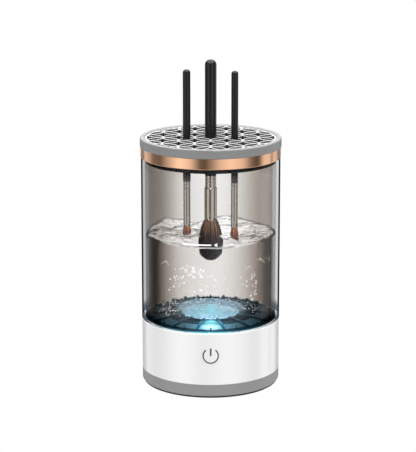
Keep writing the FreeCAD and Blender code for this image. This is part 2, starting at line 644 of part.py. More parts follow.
def make_level_line():
    """A raised fill line with a small arrow head over its right end, on the front of the cup."""
    skin_outside = cylinder("mark_skin_outside", "cup_radius + mark_relief", "cup_mouth", ("0", "0", "0"))
    skin_inside = cylinder("mark_skin_inside", "cup_radius", "cup_mouth", ("0", "0", "0"))
    line = box("mark_line", ("mark_length", "cup_radius", "mark_stroke"),
               ("mark_left", "-1.1 * cup_radius", "mark_height - mark_stroke / 2"))
    arrow = document.addObject("Part::Prism", "mark_arrow_head")
    arrow.Polygon = 3
    bind(arrow, "Circumradius", "mark_arrow")
    bind(arrow, "Height", "cup_radius")
    arrow_x = "mark_left + mark_length + mark_arrow_gap + mark_arrow"
    settle(arrow, (arrow_x, "-1.1 * cup_radius", "mark_height"),
           ALONG_Y.multiply(Rotation(Vector(0, 0, 1), 180)))
    skin = cut("mark_skin", skin_outside, skin_inside)
    return common("level_line", skin, group("mark_shapes", [line, arrow]))


# ---------------------------------------------------------------------------------------------------------
# Spinner: spindle, ribbed bowl with sunk panels, frosted centre disc
# ---------------------------------------------------------------------------------------------------------
def make_spinner():
    disc_seat = "bowl_low + bowl_rise + bowl_plate - bowl_dish_depth"
    spindle = turned("spindle", [("0", "spindle_low"), ("spindle_radius", "spindle_low"),
                                 ("spindle_radius", disc_seat), ("0", disc_seat)])
    crest_top = "bowl_low + bowl_rise + bowl_plate"
    rim_top = "bowl_low + bowl_plate"
    slope = rim_top + " + bowl_rise * (bowl_radius - %s) / (bowl_radius - bowl_crest)"
    outer_edge = slope % "panel_outer"
    inner_edge = slope % "panel_inner"
    bowl = turned("spinner_bowl", [
        ("spindle_radius", "bowl_hub_low"), ("bowl_hub_radius", "bowl_hub_low"),
        ("bowl_hub_radius", "bowl_low"), ("bowl_radius", "bowl_low"), ("bowl_radius", rim_top),
        ("panel_outer", outer_edge), ("panel_outer", outer_edge + " - panel_depth"),
        ("panel_inner", inner_edge + " - panel_depth"), ("panel_inner", inner_edge),
        ("bowl_crest", crest_top), ("bowl_dish_radius", crest_top), ("bowl_dish_radius", disc_seat),
        ("spindle_radius", disc_seat)], ("0", "0", "0"), number("bowl_turn"))
    tips = [("bowl_radius - tip_length", rim_top + " + rib_height"),
            ("bowl_radius - tip_flat", rim_top + " + tip_height"),
            ("bowl_radius", rim_top + " + tip_height - tip_drop"), ("bowl_radius", rim_top + " - rib_root")]
    long_rib = [("rib_start", crest_top + " - rib_root"), ("rib_start", crest_top + " + rib_height"),
                ("bowl_crest", crest_top + " + rib_height")] + tips + [
                    ("bowl_crest", crest_top + " - rib_root")]
    short_rib = [("short_rib_start", rim_top + " - rib_root"),
                 ("short_rib_start", rim_top + " + rib_height")] + tips
    axis_sketch = new_sketch(bowl, "XY_Plane")
    for outline, degrees in ((long_rib, 0.0), (short_rib, 180.0 / number("rib_count"))):
        sketch = new_sketch(bowl, "XZ_Plane")
        turn = Rotation(Vector(0, 1, 0), degrees)
        sketch.AttachmentOffset = Placement(Vector(), turn)
        draw_polygon(sketch, outline)
        rib = pad(bowl, sketch, "rib_width", both_ways=True)
        repeat_round(bowl, [rib], "rib_count", axis_sketch)
    dome_radius = "(disc_radius * disc_radius + disc_dome * disc_dome) / (2 * disc_dome)"
    ball = document.addObject("Part::Sphere", "disc_dome_ball")
    bind(ball, "Radius", dome_radius)
    settle(ball, ("0", "0", disc_seat + " + disc_edge + disc_dome - " + dome_radius))
    blank = cylinder("disc_blank", "disc_radius", "disc_edge + disc_dome", ("0", "0", disc_seat))
    return [spindle, bowl, common("spinner_disc", blank, ball)]


# ---------------------------------------------------------------------------------------------------------
# Lid: rim with skirt, sealing ring, lattice grille
# ---------------------------------------------------------------------------------------------------------
def make_lid():
    seat = "grille_top - grille_depth"
    skirt_inside = "skirt_outer - skirt_wall"
    rim = turned("lid_rim", [
        ("lid_radius", "cup_mouth"), ("lid_radius", "lid_top"), ("grille_seat_radius", "lid_top"),
        ("grille_seat_radius", seat), (skirt_inside, seat), (skirt_inside, "skirt_low"),
        ("skirt_outer", "skirt_low"), ("skirt_outer", "cup_mouth")])
    round_rims(rim, [("lid_radius", "lid_top"), ("grille_seat_radius", "lid_top")], "lid_round")
    lip_gap = "2 * seal_lip"
    seal = turned("lid_seal", [
        ("skirt_outer", "seal_low"), ("seal_lip_radius", "seal_low"),
        ("seal_lip_radius", "seal_low + seal_lip"), ("seal_body_radius", "seal_low + seal_lip"),
        ("seal_body_radius", "seal_low + seal_lip + " + lip_gap),
        ("seal_lip_radius", "seal_low + seal_lip + " + lip_gap),
        ("seal_lip_radius", "seal_low + 2 * seal_lip + " + lip_gap),
        ("seal_body_radius", "seal_low + 2 * seal_lip + " + lip_gap),
        ("seal_body_radius", "seal_top"), ("skirt_outer", "seal_top")])
    return [rim, seal]


def arc_through(centre, radius, start, end):
    """The short arc of a circle between two points that lie on it."""
    middle = (start + end) * 0.5 - centre
    middle.normalize()
    return Part.Arc(start, centre + middle * radius, end).toShape()


def make_grille():
    """A disc pierced by the gaps of a lattice of overlapping circles: four-pointed stars on the circles'
    centres, and leaf-shaped gaps where neighbouring circles overlap."""
    radius = number("circle_radius")
    half_rib = number("rib_thickness") / 2
    outside = number("grille_seat_radius")
    opening_radius = outside - number("grille_rim")
    depth = number("grille_depth")
    low = Vector(0, 0, number("grille_top") - depth)
    blank = Part.makeCylinder(outside, depth, low)
    field = Part.makeCylinder(opening_radius, depth, low)
    smallest_gap = 3.0

    half_diagonal = radius / math.sqrt(2)
    tip = math.sqrt((radius - half_rib) ** 2 - half_diagonal ** 2)
    cusp = radius - math.sqrt((radius + half_rib) ** 2 - radius ** 2)

    def leaf(middle, along):
        across = Vector(-along.y, along.x, 0)
        start = middle - along * tip
        end = middle + along * tip
        arcs = [arc_through(middle + across * half_diagonal * side, radius - half_rib, start, end)
                for side in (-1, 1)]
        return Part.Wire(arcs)

    def star(middle):
        points = [middle + Vector(cusp * math.cos(turn), cusp * math.sin(turn), 0)
                  for turn in (0, math.pi / 2, math.pi, 3 * math.pi / 2)]
        arcs = []
        for index in range(4):
            start = points[index]
            end = points[(index + 1) % 4]
            corner = start + end - middle
            corner = middle + (corner - middle) * (radius / cusp)
            inward = middle - corner
            inward.normalize()
            arcs.append(Part.Arc(start, corner + inward * (radius + half_rib), end).toShape())
        return Part.Wire(arcs)

    gaps = []
    reach = int(outside / radius) + 1
    for column in range(-reach, reach + 1):
        for line in range(-reach, reach + 1):
            if (column + line) % 2:
                continue
            middle = low + Vector(column * radius, line * radius, 0)
            wires = [star(middle)]
            for side in (-1, 1):
                leaf_middle = middle + Vector(radius / 2, side * radius / 2, 0)
                wires.append(leaf(leaf_middle, Vector(1, -side, 0).normalize()))
            for wire in wires:
                if Vector(wire.CenterOfMass.x, wire.CenterOfMass.y, 0).Length > outside + radius:
                    continue
                gap = Part.Face(wire).extrude(Vector(0, 0, depth)).common(field)
                if gap.Volume > smallest_gap * depth:
                    gaps.append(gap)
    grille = document.addObject("Part::Feature", "brush_grille")
    grille.Shape = blank.cut(gaps)
    return grille


# ---------------------------------------------------------------------------------------------------------
# Brushes: lacquered handle, crimped metal ferrule, tuft
# ---------------------------------------------------------------------------------------------------------
def make_handle(side, place, tenon_radius):
    """A round handle with a domed end, turned down to a tenon that the ferrule grips."""
    radius = side + "_handle_radius"
    top = side + "_top"
    ferrule_top = side + "_ferrule_top"
    handle = turned(side + "_handle", [
        ("0", ferrule_top + " - tenon_length"), (tenon_radius, ferrule_top + " - tenon_length"),
        (tenon_radius, ferrule_top), (radius, ferrule_top), (radius, top), ("0", top)], place)
    round_rims(handle, [(radius, top)], radius + " - handle_flat")
    return handle


def crimps(radius, first):
    """Outline of two grooves pressed round a tube, from the height of the upper one downwards."""
    outline = []
    for start in (first, first + " - crimp_step"):
        outline += [(radius, start), (radius + " - crimp_depth", start + " - crimp_slope"),
                    (radius + " - crimp_depth", start + " - crimp_width + crimp_slope"),
                    (radius, start + " - crimp_width")]
    return outline


def make_center_brush():
    place = ("0", "0", "0")
    tube, neck = "center_tube_radius", "center_neck_radius"
    tube_bore, neck_bore = tube + " - tube_wall", neck + " - tube_wall"
    top, shoulder, low = "center_ferrule_top", "center_shoulder", "center_ferrule_low"
    neck_low = "center_shoulder + center_shoulder_height"
    handle = make_handle("center", place, neck_bore)
    ferrule = turned("center_ferrule", [(neck, top)] + crimps(neck, "center_crimp_top") + [
        (neck, neck_low), (tube, shoulder), (tube, low), (tube_bore, low), (tube_bore, shoulder),
        (neck_bore, neck_low), (neck_bore, top)], place)
    bristles = turned("center_bristles", [
        ("0", low + " + tuft_root"), (tube_bore, low + " + tuft_root"), (tube_bore, low),
        ("drop_upper_radius", "drop_upper"), ("drop_radius", "drop_widest"),
        ("drop_lower_radius", "drop_lower"), ("drop_end_radius", "drop_end"), ("0", "drop_tip")], place)
    return [handle, ferrule, bristles]


def make_side_brush(side, across):
    """A slim brush with a straight crimped ferrule and a slant-cut tuft."""
    place = (across, "side_brush_y", "0")
    tube = "side_tube_radius"
    bore = tube + " - tube_wall"
    top, low, tip = side + "_ferrule_top", side + "_ferrule_low", side + "_tuft_low"
    handle = make_handle(side, place, bore)
    ferrule = turned(side + "_ferrule", [(tube, top)] + crimps(tube, top + " - side_crimp_drop") + [
        (tube, low), (bore, low), (bore, top)], place)
    tuft = turned(side + "_tuft", [
        ("0", low + " + tuft_root"), (bore, low + " + tuft_root"), (bore, low), ("side_tuft_radius", tip),
        ("0", tip)], place)
    slant = Rotation(Vector(0, 1, 0), number(side + "_slant"))
    size = 8 * number("side_tuft_radius")
    knife = document.addObject("Part::Box", side + "_knife")
    for prop in ("Length", "Width", "Height"):
        bind(knife, prop, "8 * side_tuft_radius")
    middle = Vector(number(across), number("side_brush_y"), number(tip + " + slant_height"))
    corner = Vector(-size / 2, -size / 2, -size)
    knife.Placement = Placement(middle, slant).multiply(Placement(corner, Rotation()))
    return [handle, ferrule, cut(side + "_bristles", tuft, knife)]


def make_brushes():
    return (make_center_brush() + make_side_brush("left", "-side_brush_x")
            + make_side_brush("right", "side_brush_x"))


# ---------------------------------------------------------------------------------------------------------
# Everything together
# ---------------------------------------------------------------------------------------------------------
def check(pieces):
    """Stops when any object of the document failed, or when a sub-part's shape is missing or broken."""
    for item in document.Objects:
        bad_states = [state for state in item.State if state in ("Invalid", "Error")]
        if bad_states:
            raise RuntimeError("%s: %s" % (item.Name, bad_states))
    for piece in pieces:
        if piece.Shape.isNull() or not piece.Shape.isValid() or not piece.Shape.Solids:
            raise RuntimeError(piece.Name + " has no valid solid")


def main():
    pieces = [make_foot(), make_bottom_cover(), make_base_shell(), make_cover_screws()]
    pieces += make_motor() + make_rotor_and_shaft() + make_couplers()
    pieces += make_main_board() + [make_usb_socket(), make_battery()] + make_lamps()
    pieces += make_switch() + make_button()
    pieces += make_cup() + [make_level_line()] + make_spinner()
    pieces += make_lid() + [make_grille()] + make_brushes()
    document.recompute()
    check(pieces)
    os.makedirs("parts", exist_ok=True)
    for piece in pieces:
        piece.Label = piece.Name
        piece.Shape.exportStep("parts/%s.step" % piece.Label)
        extent = piece.Shape.BoundBox
        print("%-18s solids %d  volume %9.1f  z %.1f to %.1f" % (
            piece.Label, len(piece.Shape.Solids), piece.Shape.Volume, extent.ZMin, extent.ZMax))


main()
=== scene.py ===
"""Looks of the brush cleaner: materials for every CAD node, brush hair, moving water with bubbles, the
blue light, a plain white studio and the camera. Lengths in metres, front of the object at -Y."""

import json
import math
import random

import bpy
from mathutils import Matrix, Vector, noise


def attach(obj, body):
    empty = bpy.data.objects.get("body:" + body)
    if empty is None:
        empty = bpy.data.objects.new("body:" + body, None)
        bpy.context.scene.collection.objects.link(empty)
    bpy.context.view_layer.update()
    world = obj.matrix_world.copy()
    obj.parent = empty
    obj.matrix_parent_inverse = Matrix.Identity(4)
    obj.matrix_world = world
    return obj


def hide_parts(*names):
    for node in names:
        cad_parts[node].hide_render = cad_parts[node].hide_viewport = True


MM = 0.001
# A ramp runs from 0 to 1, so lengths in millimetres are divided by one of these spans before they reach one.
SHORT_SPAN = 50.0
CUP_SPAN = 160.0

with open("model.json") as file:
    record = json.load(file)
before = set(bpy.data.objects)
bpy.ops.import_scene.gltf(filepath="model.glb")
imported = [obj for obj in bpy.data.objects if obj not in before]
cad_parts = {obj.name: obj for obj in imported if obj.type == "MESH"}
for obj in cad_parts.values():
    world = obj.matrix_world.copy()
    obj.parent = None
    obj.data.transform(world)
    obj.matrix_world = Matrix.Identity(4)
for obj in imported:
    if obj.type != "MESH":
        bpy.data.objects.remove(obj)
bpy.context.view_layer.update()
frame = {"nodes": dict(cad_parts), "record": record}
nodes = frame["nodes"]
slot_of = {item["node"]: item["material_slot"] for item in frame["record"]["subparts"]}


# ---------------------------------------------------------------------------------------------------------
# Node helpers
# ---------------------------------------------------------------------------------------------------------
def add(tree, kind, inputs=None, **settings):
    """Adds a node. Inputs that are sockets are linked, and plain values are set on the node itself."""
    node = tree.nodes.new("ShaderNode" + kind)
    for key, value in settings.items():
        setattr(node, key, value)
    for key, value in (inputs or {}).items():
        if isinstance(value, bpy.types.NodeSocket):
            tree.links.new(value, node.inputs[key])
        else:
            node.inputs[key].default_value = value
    return node


def math_node(tree, operation, *values):
    node = add(tree, "Math", dict(enumerate(values)), operation=operation)
    return node.outputs[0]


def ramp(tree, factor, stops, smooth=False):
    """A colour ramp from (position, gray or colour) stops."""
    node = add(tree, "ValToRGB", {"Fac": factor})
    band = node.color_ramp
    band.interpolation = "EASE" if smooth else "LINEAR"
    while len(band.elements) < len(stops):
        band.elements.new(0.5)
    for element, (position, color) in zip(band.elements, stops):
        element.position = position
        element.color = (color, color, color, 1) if isinstance(color, (int, float)) else (*color, 1)
    return node.outputs["Color"]


def position_mm(tree):
    """The place on the part at rest, in millimetres, which moves with the body."""
    place = add(tree, "TexCoord").outputs["Object"]
    scaled = add(tree, "VectorMath", {0: place, "Scale": 1000.0}, operation="SCALE")
    return scaled.outputs["Vector"]


def noise_of(tree, place, scale, detail=3.0, roughness=0.5, distortion=0.0):
    node = add(tree, "TexNoise", {"Vector": place, "Scale": scale, "Detail": detail,
                                  "Roughness": roughness, "Distortion": distortion})
    return node.outputs["Fac"]


def stretched(tree, place, scales):
    node = add(tree, "VectorMath", {0: place, 1: scales}, operation="MULTIPLY")
    return node.outputs["Vector"]


def mixed(tree, share, first, second):
    """The first colour where share is 0, the second where it is 1."""
    return add(tree, "MixRGB", {"Fac": share, "Color1": first, "Color2": second}).outputs[0]


def multiplied(tree, first, second, share=1.0):
    node = add(tree, "MixRGB", {"Fac": share, "Color1": first, "Color2": second}, blend_type="MULTIPLY")
    return node.outputs[0]


def height_of(tree, place):
    return add(tree, "SeparateXYZ", {0: place}).outputs["Z"]


def centred_share(tree, value):
    """A place from -50 to 50 mm as a share from 0 to 1."""
    return math_node(tree, "MULTIPLY_ADD", value, 0.01, 0.5)


def bump(tree, height, strength, distance):
    node = add(tree, "Bump", {"Height": height, "Strength": strength, "Distance": distance})
    return node.outputs["Normal"]


def new_material(name):
    material = bpy.data.materials.new(name)
    material.use_nodes = True
    material.node_tree.nodes.clear()
    return material, material.node_tree


def finish_material(tree, shader):
    add(tree, "OutputMaterial", {"Surface": shader})


def shade(color, factor):
    return (color[0] * factor, color[1] * factor, color[2] * factor)


# ---------------------------------------------------------------------------------------------------------
# Opaque materials: plastics, rubbers and metals
# ---------------------------------------------------------------------------------------------------------
def plastic(name, color, roughness, grain_scale, grain_depth, mottle=0.03, **extra):
    """Moulded plastic: a fine surface grain, slight unevenness in colour and in gloss."""
    material, tree = new_material(name)
    place = position_mm(tree)
    broad = noise_of(tree, place, 0.05, 2.0)
    fine = noise_of(tree, place, grain_scale, 4.0, 0.6)
    base = ramp(tree, broad, [(0.3, shade(color, 1 - mottle)), (0.7, shade(color, 1 + mottle))])
    gloss = ramp(tree, fine, [(0.25, roughness * 0.85), (0.75, roughness * 1.15)])
    shader = add(tree, "BsdfPrincipled", {
        "Base Color": base, "Roughness": gloss, "Normal": bump(tree, fine, 0.5, grain_depth * MM), **extra})
    finish_material(tree, shader.outputs[0])
    return material


def turned_metal(name, color, roughness, line_scale, line_depth, mottle=0.08):
    """Metal turned about the part's axis, with fine lines that run round it."""
    material, tree = new_material(name)
    place = position_mm(tree)
    lines = noise_of(tree, stretched(tree, place, (0.02, 0.02, line_scale)), 1.0, 3.0, 0.7)
    cloud = noise_of(tree, place, 0.15, 3.0)
    base = ramp(tree, lines, [(0.3, shade(color, 1 - mottle)), (0.7, color)])
    gloss = ramp(tree, cloud, [(0.3, roughness * 0.85), (0.7, roughness * 1.2)])
    shader = add(tree, "BsdfPrincipled", {
        "Base Color": base, "Metallic": 1.0, "Roughness": gloss,
        "Normal": bump(tree, lines, 0.6, line_depth * MM)})
    finish_material(tree, shader.outputs[0])
    return material


def copper_winding():
    """Lacquered windings: wires side by side along the rotor, over a dark steel core."""
    material, tree = new_material("copper_winding")
    place = position_mm(tree)
    wires = add(tree, "TexWave", {"Vector": place, "Scale": 1.6, "Distortion": 1.5, "Detail": 1.0},
                bands_direction="Z").outputs["Fac"]
    base = ramp(tree, wires, [(0.0, (0.12, 0.045, 0.02)), (1.0, (0.62, 0.27, 0.12))])
    shader = add(tree, "BsdfPrincipled", {
        "Base Color": base, "Metallic": 0.8, "Roughness": 0.35, "Normal": bump(tree, wires, 0.8, 0.1 * MM)})
    finish_material(tree, shader.outputs[0])
    return material


def circuit_board():
    """Green solder mask over copper tracks that show as slightly paler lines."""
    material, tree = new_material("board_green")
    place = position_mm(tree)
    tracks = add(tree, "TexVoronoi", {"Vector": place, "Scale": 0.45, "Randomness": 0.6},
                 feature="DISTANCE_TO_EDGE").outputs["Distance"]
    base = ramp(tree, tracks, [(0.03, (0.05, 0.26, 0.11)), (0.06, (0.012, 0.12, 0.05))])
    shader = add(tree, "BsdfPrincipled", {
        "Base Color": base, "Roughness": 0.3, "Normal": bump(tree, tracks, 0.3, 0.05 * MM)})
    finish_material(tree, shader.outputs[0])
    return material


# ---------------------------------------------------------------------------------------------------------
# Clear materials: cup, water, bubbles, glow
# ---------------------------------------------------------------------------------------------------------
def facing(tree):
    """0 where a surface is seen square on, 1 where it is seen edge on."""
    return add(tree, "LayerWeight", {"Blend": 0.5}).outputs["Facing"]


def clear_to_others(tree, tint):
    """The tint for what the camera sees through the surface, and hardly any for light and reflections."""
    seen = add(tree, "LightPath").outputs["Is Camera Ray"]
    return mixed(tree, seen, (0.94, 0.94, 0.94, 1), tint)


def only_front(tree, value):
    """The value on the outer side of a surface, and 0 on its inner side."""
    behind = add(tree, "NewGeometry").outputs["Backfacing"]
    return math_node(tree, "MULTIPLY", value, math_node(tree, "SUBTRACT", 1.0, behind))


LAMP_PLACE = (0.0, -31.5, 41.6)
LAMP_REACH = 60.0
# Middle and half widths, seen from above, of the foam over the disc that gives off painted light.
HAZE_CENTRE = (0.0, -9.5)
HAZE_REACH = (23.5, 22.0)
GRILLE_TOP = 150.5
# The bowl's ribs are level out to this radius and from there fall by this much a millimetre.
CREST_RADIUS = 26.7
RIB_FALL = 0.106


def lamp_distance(tree, place):
    """Distance to the lamp under the front of the bowl, as a share of LAMP_REACH."""
    away = add(tree, "VectorMath", {0: place, 1: LAMP_PLACE}, operation="DISTANCE").outputs["Value"]
    return math_node(tree, "DIVIDE", away, LAMP_REACH)


def radius_of(tree, place):
    """Distance from the upright middle axis."""
    flat = stretched(tree, place, (1.0, 1.0, 0.0))
    return add(tree, "VectorMath", {0: flat}, operation="LENGTH").outputs["Value"]


def oval(tree, place, centre, reach, solid=0.8):
    """1 inside an upright oval column, easing to 0 from the solid share of its reach to its edge."""
    offset = add(tree, "VectorMath", {0: place, 1: (*centre, 0.0)}, operation="SUBTRACT").outputs[0]
    shares = stretched(tree, offset, (0.5 / reach[0], 0.5 / reach[1], 0.0))
    across = add(tree, "VectorMath", {0: shares}, operation="LENGTH").outputs["Value"]
    return ramp(tree, across, [(solid * 0.5, 1.0), (0.5, 0.0)], True)


def clear_cup():
    """Faintly smoked clear plastic: darker the more edge on it is seen, then a light band inside a dark
    outline where the wall is seen along its length, painted into the tint by slant in place of bending rays.
    Its left side is given painted shade, and its lowest part a painted reflection of the bowl and a painted
    glow from the lamp."""
    material, tree = new_material("clear_cup")
    slant = facing(tree)
    smoke = [
        (0.0, (0.985, 0.984, 0.982)), (0.06, (0.93, 0.926, 0.92)), (0.16, (0.857, 0.845, 0.83)),
        (0.26, (0.8, 0.777, 0.755)), (0.36, (0.755, 0.733, 0.71)), (0.58, (0.725, 0.7, 0.68)), (0.66, 0.7)]
    inner = ramp(tree, slant, smoke + [(0.72, 0.88), (1.0, 0.85)])
    outer = ramp(tree, slant, smoke + [(0.7, 0.84), (0.775, 0.82), (0.81, 0.1), (1.0, 0.06)])
    place = position_mm(tree)
    parts = add(tree, "SeparateXYZ", {0: place})
    across = math_node(tree, "DIVIDE", radius_of(tree, place), SHORT_SPAN)
    skin = ramp(tree, across, [(0.8, 0.0), (0.825, 1.0)])
    tint = mixed(tree, skin, inner, outer)
    # Painted shade: up to 14 per cent darker towards the left side of the cup.
    side = ramp(tree, centred_share(tree, parts.outputs["X"]), [(0.12, 0.86), (0.3, 1.0)])
    tint = multiplied(tree, tint, side)
    height = math_node(tree, "DIVIDE", parts.outputs["Z"], SHORT_SPAN)
    # Painted reflection of the dark blue bowl, where the lowest part of the wall is seen at a slant.
    edge = ramp(tree, slant, [(0.5, 0.0), (0.68, 1.0)])
    painted_bowl_reflection = math_node(tree, "MULTIPLY", edge, ramp(tree, height, [(0.86, 0.9), (0.94, 0.0)]))
    tint = mixed(tree, painted_bowl_reflection, tint, (0.06, 0.11, 0.16, 1))
    clear = add(tree, "BsdfTransparent", {"Color": clear_to_others(tree, tint)})
    haze = ramp(tree, noise_of(tree, place, 0.3, 3.0), [(0.3, 0.03), (0.7, 0.07)])
    mirror = add(tree, "BsdfGlossy", {"Color": (1, 1, 1, 1), "Roughness": haze})
    share = ramp(tree, slant, [
        (0.0, 0.045), (0.6, 0.07), (0.74, 0.1), (0.8, 0.08), (0.85, 0.01), (1.0, 0.01)])
    tall = math_node(tree, "DIVIDE", parts.outputs["Z"], CUP_SPAN)
    open_part = ramp(tree, tall, [(0.28, 0.06), (0.32, 1.0), (0.83, 1.0), (0.85, 0.1)])
    share = math_node(tree, "MULTIPLY", share, math_node(tree, "MULTIPLY", open_part, skin))
    share = only_front(tree, share)
    glass = add(tree, "MixShader", {0: share, 1: clear.outputs[0], 2: mirror.outputs[0]})

    # Painted glow: the lowest part of the cup gives off blue light close to the lamp, though the cup is no
    # lamp.
    low = ramp(tree, height, [(0.81, 1.0), (0.818, 0.0)])
    painted_lamp_pool = ramp(tree, lamp_distance(tree, place), [(0.1, 1.0), (0.3, 0.3), (0.65, 0.03)], True)
    strength = math_node(tree, "MULTIPLY", math_node(tree, "MULTIPLY", low, painted_lamp_pool), 0.6)
    light = add(tree, "Emission", {"Color": (0.12, 0.55, 0.75, 1), "Strength": strength})
    both = add(tree, "AddShader", {0: glass.outputs[0], 1: light.outputs[0]})
    finish_material(tree, both.outputs[0])
    return material


def water_side():
    """The water's outer face against the cup: clear, with a painted dark band in its tint where it is seen
    at a slant, in place of the dark surroundings that the water would bend into view."""
    material, tree = new_material("water_side")
    place = position_mm(tree)
    streaks = noise_of(tree, stretched(tree, place, (0.3, 0.3, 0.03)), 1.0, 2.0)
    sway = math_node(tree, "MULTIPLY", math_node(tree, "SUBTRACT", streaks, 0.5), 0.012)
    # Painted dark band: darkest where the face is seen about halfway to edge on.
    slant_for_painted_band = math_node(tree, "ADD", facing(tree), sway)
    tint = ramp(tree, slant_for_painted_band, [
        (0.0, (0.985, 0.98, 0.972)), (0.2, (0.96, 0.95, 0.94)), (0.3, (0.9, 0.885, 0.87)),
        (0.39, (0.7, 0.67, 0.64)), (0.46, (0.36, 0.32, 0.29)), (0.56, (0.24, 0.215, 0.2)),
        (0.63, (0.42, 0.4, 0.38)), (0.72, (0.7, 0.69, 0.68)), (0.82, 0.88), (1.0, 0.9)])
    clear = add(tree, "BsdfTransparent", {"Color": clear_to_others(tree, tint)})
    finish_material(tree, clear.outputs[0])
    return material


def water_top():
    """The stirred surface of the water, given off as painted light with a little real gloss: painted white
    crests and gray troughs drawn out by the flow for the light and shade on the waves, two painted white
    mounds, thin dark lines of painted shade where waves meet, and calm clear water in front of the brushes."""
    material, tree = new_material("water_top")
    place = position_mm(tree)
    # Painted light and shade of the waves: white crests, gray troughs.
    broad = noise_of(tree, stretched(tree, place, (0.035, 0.1, 0.1)), 1.0, 3.0, 0.55, 1.4)
    tone = ramp(tree, broad, [
        (0.38, (0.13, 0.125, 0.12)), (0.45, (0.42, 0.4, 0.38)), (0.51, (0.95, 0.95, 0.95))])
    # Two painted white mounds on the surface.
    painted_white_mounds = math_node(tree, "MAXIMUM", oval(tree, place, (-22.0, 26.0), (17.0, 11.0)),
                      oval(tree, place, (27.0, 15.0), (12.0, 10.0)))
    tone = mixed(tree, math_node(tree, "MULTIPLY", painted_white_mounds, 0.95), tone, (1.0, 1.0, 1.0, 1))
    # Painted shade: thin dark lines where waves meet.
    flow = noise_of(tree, stretched(tree, place, (0.035, 0.12, 0.12)), 1.0, 2.0, 0.5, 2.4)
    ridge = math_node(tree, "ABSOLUTE", math_node(tree, "SUBTRACT", flow, 0.5))
    lines = ramp(tree, ridge, [(0.0, 0.04), (0.018, 0.2), (0.05, 1.0)])
    tone = multiplied(tree, tone, lines, 0.85)
    ripples = noise_of(tree, place, 0.2, 3.0, 0.55, 1.2)
    normal = bump(tree, ripples, 0.7, 1.6 * MM)
    # The painted tones are given off as light, so the surface glows though it is no lamp.
    foam = add(tree, "Emission", {"Color": tone, "Strength": 1.4})
    mirror = add(tree, "BsdfGlossy", {"Color": (1, 1, 1, 1), "Roughness": 0.05, "Normal": normal})
    wave = add(tree, "MixShader", {0: 0.16, 1: foam.outputs[0], 2: mirror.outputs[0]})
    calm = math_node(tree, "MAXIMUM", oval(tree, place, (0.0, -20.0), (12.5, 20.0)),
                     oval(tree, place, (14.3, -14.0), (4.6, 10.0)))
    cover = ramp(tree, facing(tree), [(0.0, 0.4), (0.5, 0.6), (0.72, 0.93), (1.0, 0.95)])
    cover = math_node(tree, "MULTIPLY", cover, math_node(tree, "SUBTRACT", 1.0, calm))
    clear = add(tree, "BsdfTransparent", {"Color": (0.98, 0.98, 0.98, 1)})
    shader = add(tree, "MixShader", {0: cover, 1: clear.outputs[0], 2: wave.outputs[0]})
    finish_material(tree, shader.outputs[0])
    return material


def water_edge():
    """Water drawn up along the wall of the cup, given off as painted light: a white line of painted
    highlight at the front, dark ones of painted shade at the sides.
    """
    material, tree = new_material("water_edge")
    place = position_mm(tree)
    parts = add(tree, "SeparateXYZ", {0: place})
    across = math_node(tree, "DIVIDE", math_node(tree, "ABSOLUTE", parts.outputs["X"]), SHORT_SPAN)
    depth = centred_share(tree, parts.outputs["Y"])
    # Painted highlight and shade: white at the front, near black towards the sides, gray at the back.
    sides = ramp(tree, across, [(0.5, 0.0), (0.62, 1.0)])
    front = ramp(tree, across, [(0.5, (0.96, 0.97, 0.98)), (0.6, (0.03, 0.025, 0.02))])
    color = mixed(tree, ramp(tree, depth, [(0.52, 0.0), (0.6, 1.0)]), front, (0.3, 0.29, 0.28, 1))
    patches = ramp(tree, noise_of(tree, place, 0.12, 3.0), [(0.35, 0.25), (0.6, 0.9)])
    cover = math_node(tree, "MAXIMUM", patches, math_node(tree, "MULTIPLY", sides, 0.95))
    thin = math_node(tree, "MULTIPLY", oval(tree, place, (0.0, -38.0), (11.0, 12.0)), 0.5)
    cover = math_node(tree, "MULTIPLY", cover, math_node(tree, "SUBTRACT", 1.0, thin))
    clear = add(tree, "BsdfTransparent", {"Color": (0.96, 0.96, 0.96, 1)})
    # The painted colour is given off as light, though the water is no lamp.
    bright = add(tree, "Emission", {"Color": color, "Strength": 1.0})
    shader = add(tree, "MixShader", {0: only_front(tree, cover), 1: clear.outputs[0], 2: bright.outputs[0]})
    finish_material(tree, shader.outputs[0])
    return material


def bubble_skin():
    """A bubble in water: clear in its middle, a painted highlight given off as light round its outer part,
    with a thin dark outline.
    """
    material, tree = new_material("bubble_skin")
    edge = facing(tree)
    # Painted highlight: the outer part of the bubble gives off light, by how edge on it is seen.
    painted_rim_highlight = ramp(tree, edge, [(0.12, 0.12), (0.4, 0.95), (0.78, 1.0), (0.9, 0.0)])
    tint = ramp(tree, edge, [(0.8, 0.97), (0.93, 0.5), (1.0, 0.4)])
    clear = add(tree, "BsdfTransparent", {"Color": clear_to_others(tree, tint)})
    bright = add(tree, "Emission", {"Color": (0.96, 0.98, 1.0, 1), "Strength": 1.7})
    shader = add(tree, "MixShader", {0: painted_rim_highlight, 1: clear.outputs[0], 2: bright.outputs[0]})
    finish_material(tree, shader.outputs[0])
    return material


def lamp_glow():
    """Light scattered in the water: adds to what is behind it, strongest over the middle of the lamp."""
    material, tree = new_material("lamp_glow")
    place = position_mm(tree)
    middle = oval(tree, place, LAMP_PLACE[:2], (9.5, 6.5), 0.0)
    haze = ramp(tree, noise_of(tree, place, 0.35, 3.0, 0.6), [(0.3, 0.7), (0.7, 1.2)])
    amount = math_node(tree, "MULTIPLY", math_node(tree, "POWER", middle, 1.6), haze)
    amount = only_front(tree, math_node(tree, "MULTIPLY", amount, 0.75))
    clear = add(tree, "BsdfTransparent", {"Color": (1, 1, 1, 1)})
    light = add(tree, "Emission", {"Color": (0.25, 0.85, 1.0, 1), "Strength": amount})
    shader = add(tree, "AddShader", {0: clear.outputs[0], 1: light.outputs[0]})
    finish_material(tree, shader.outputs[0])
    return material


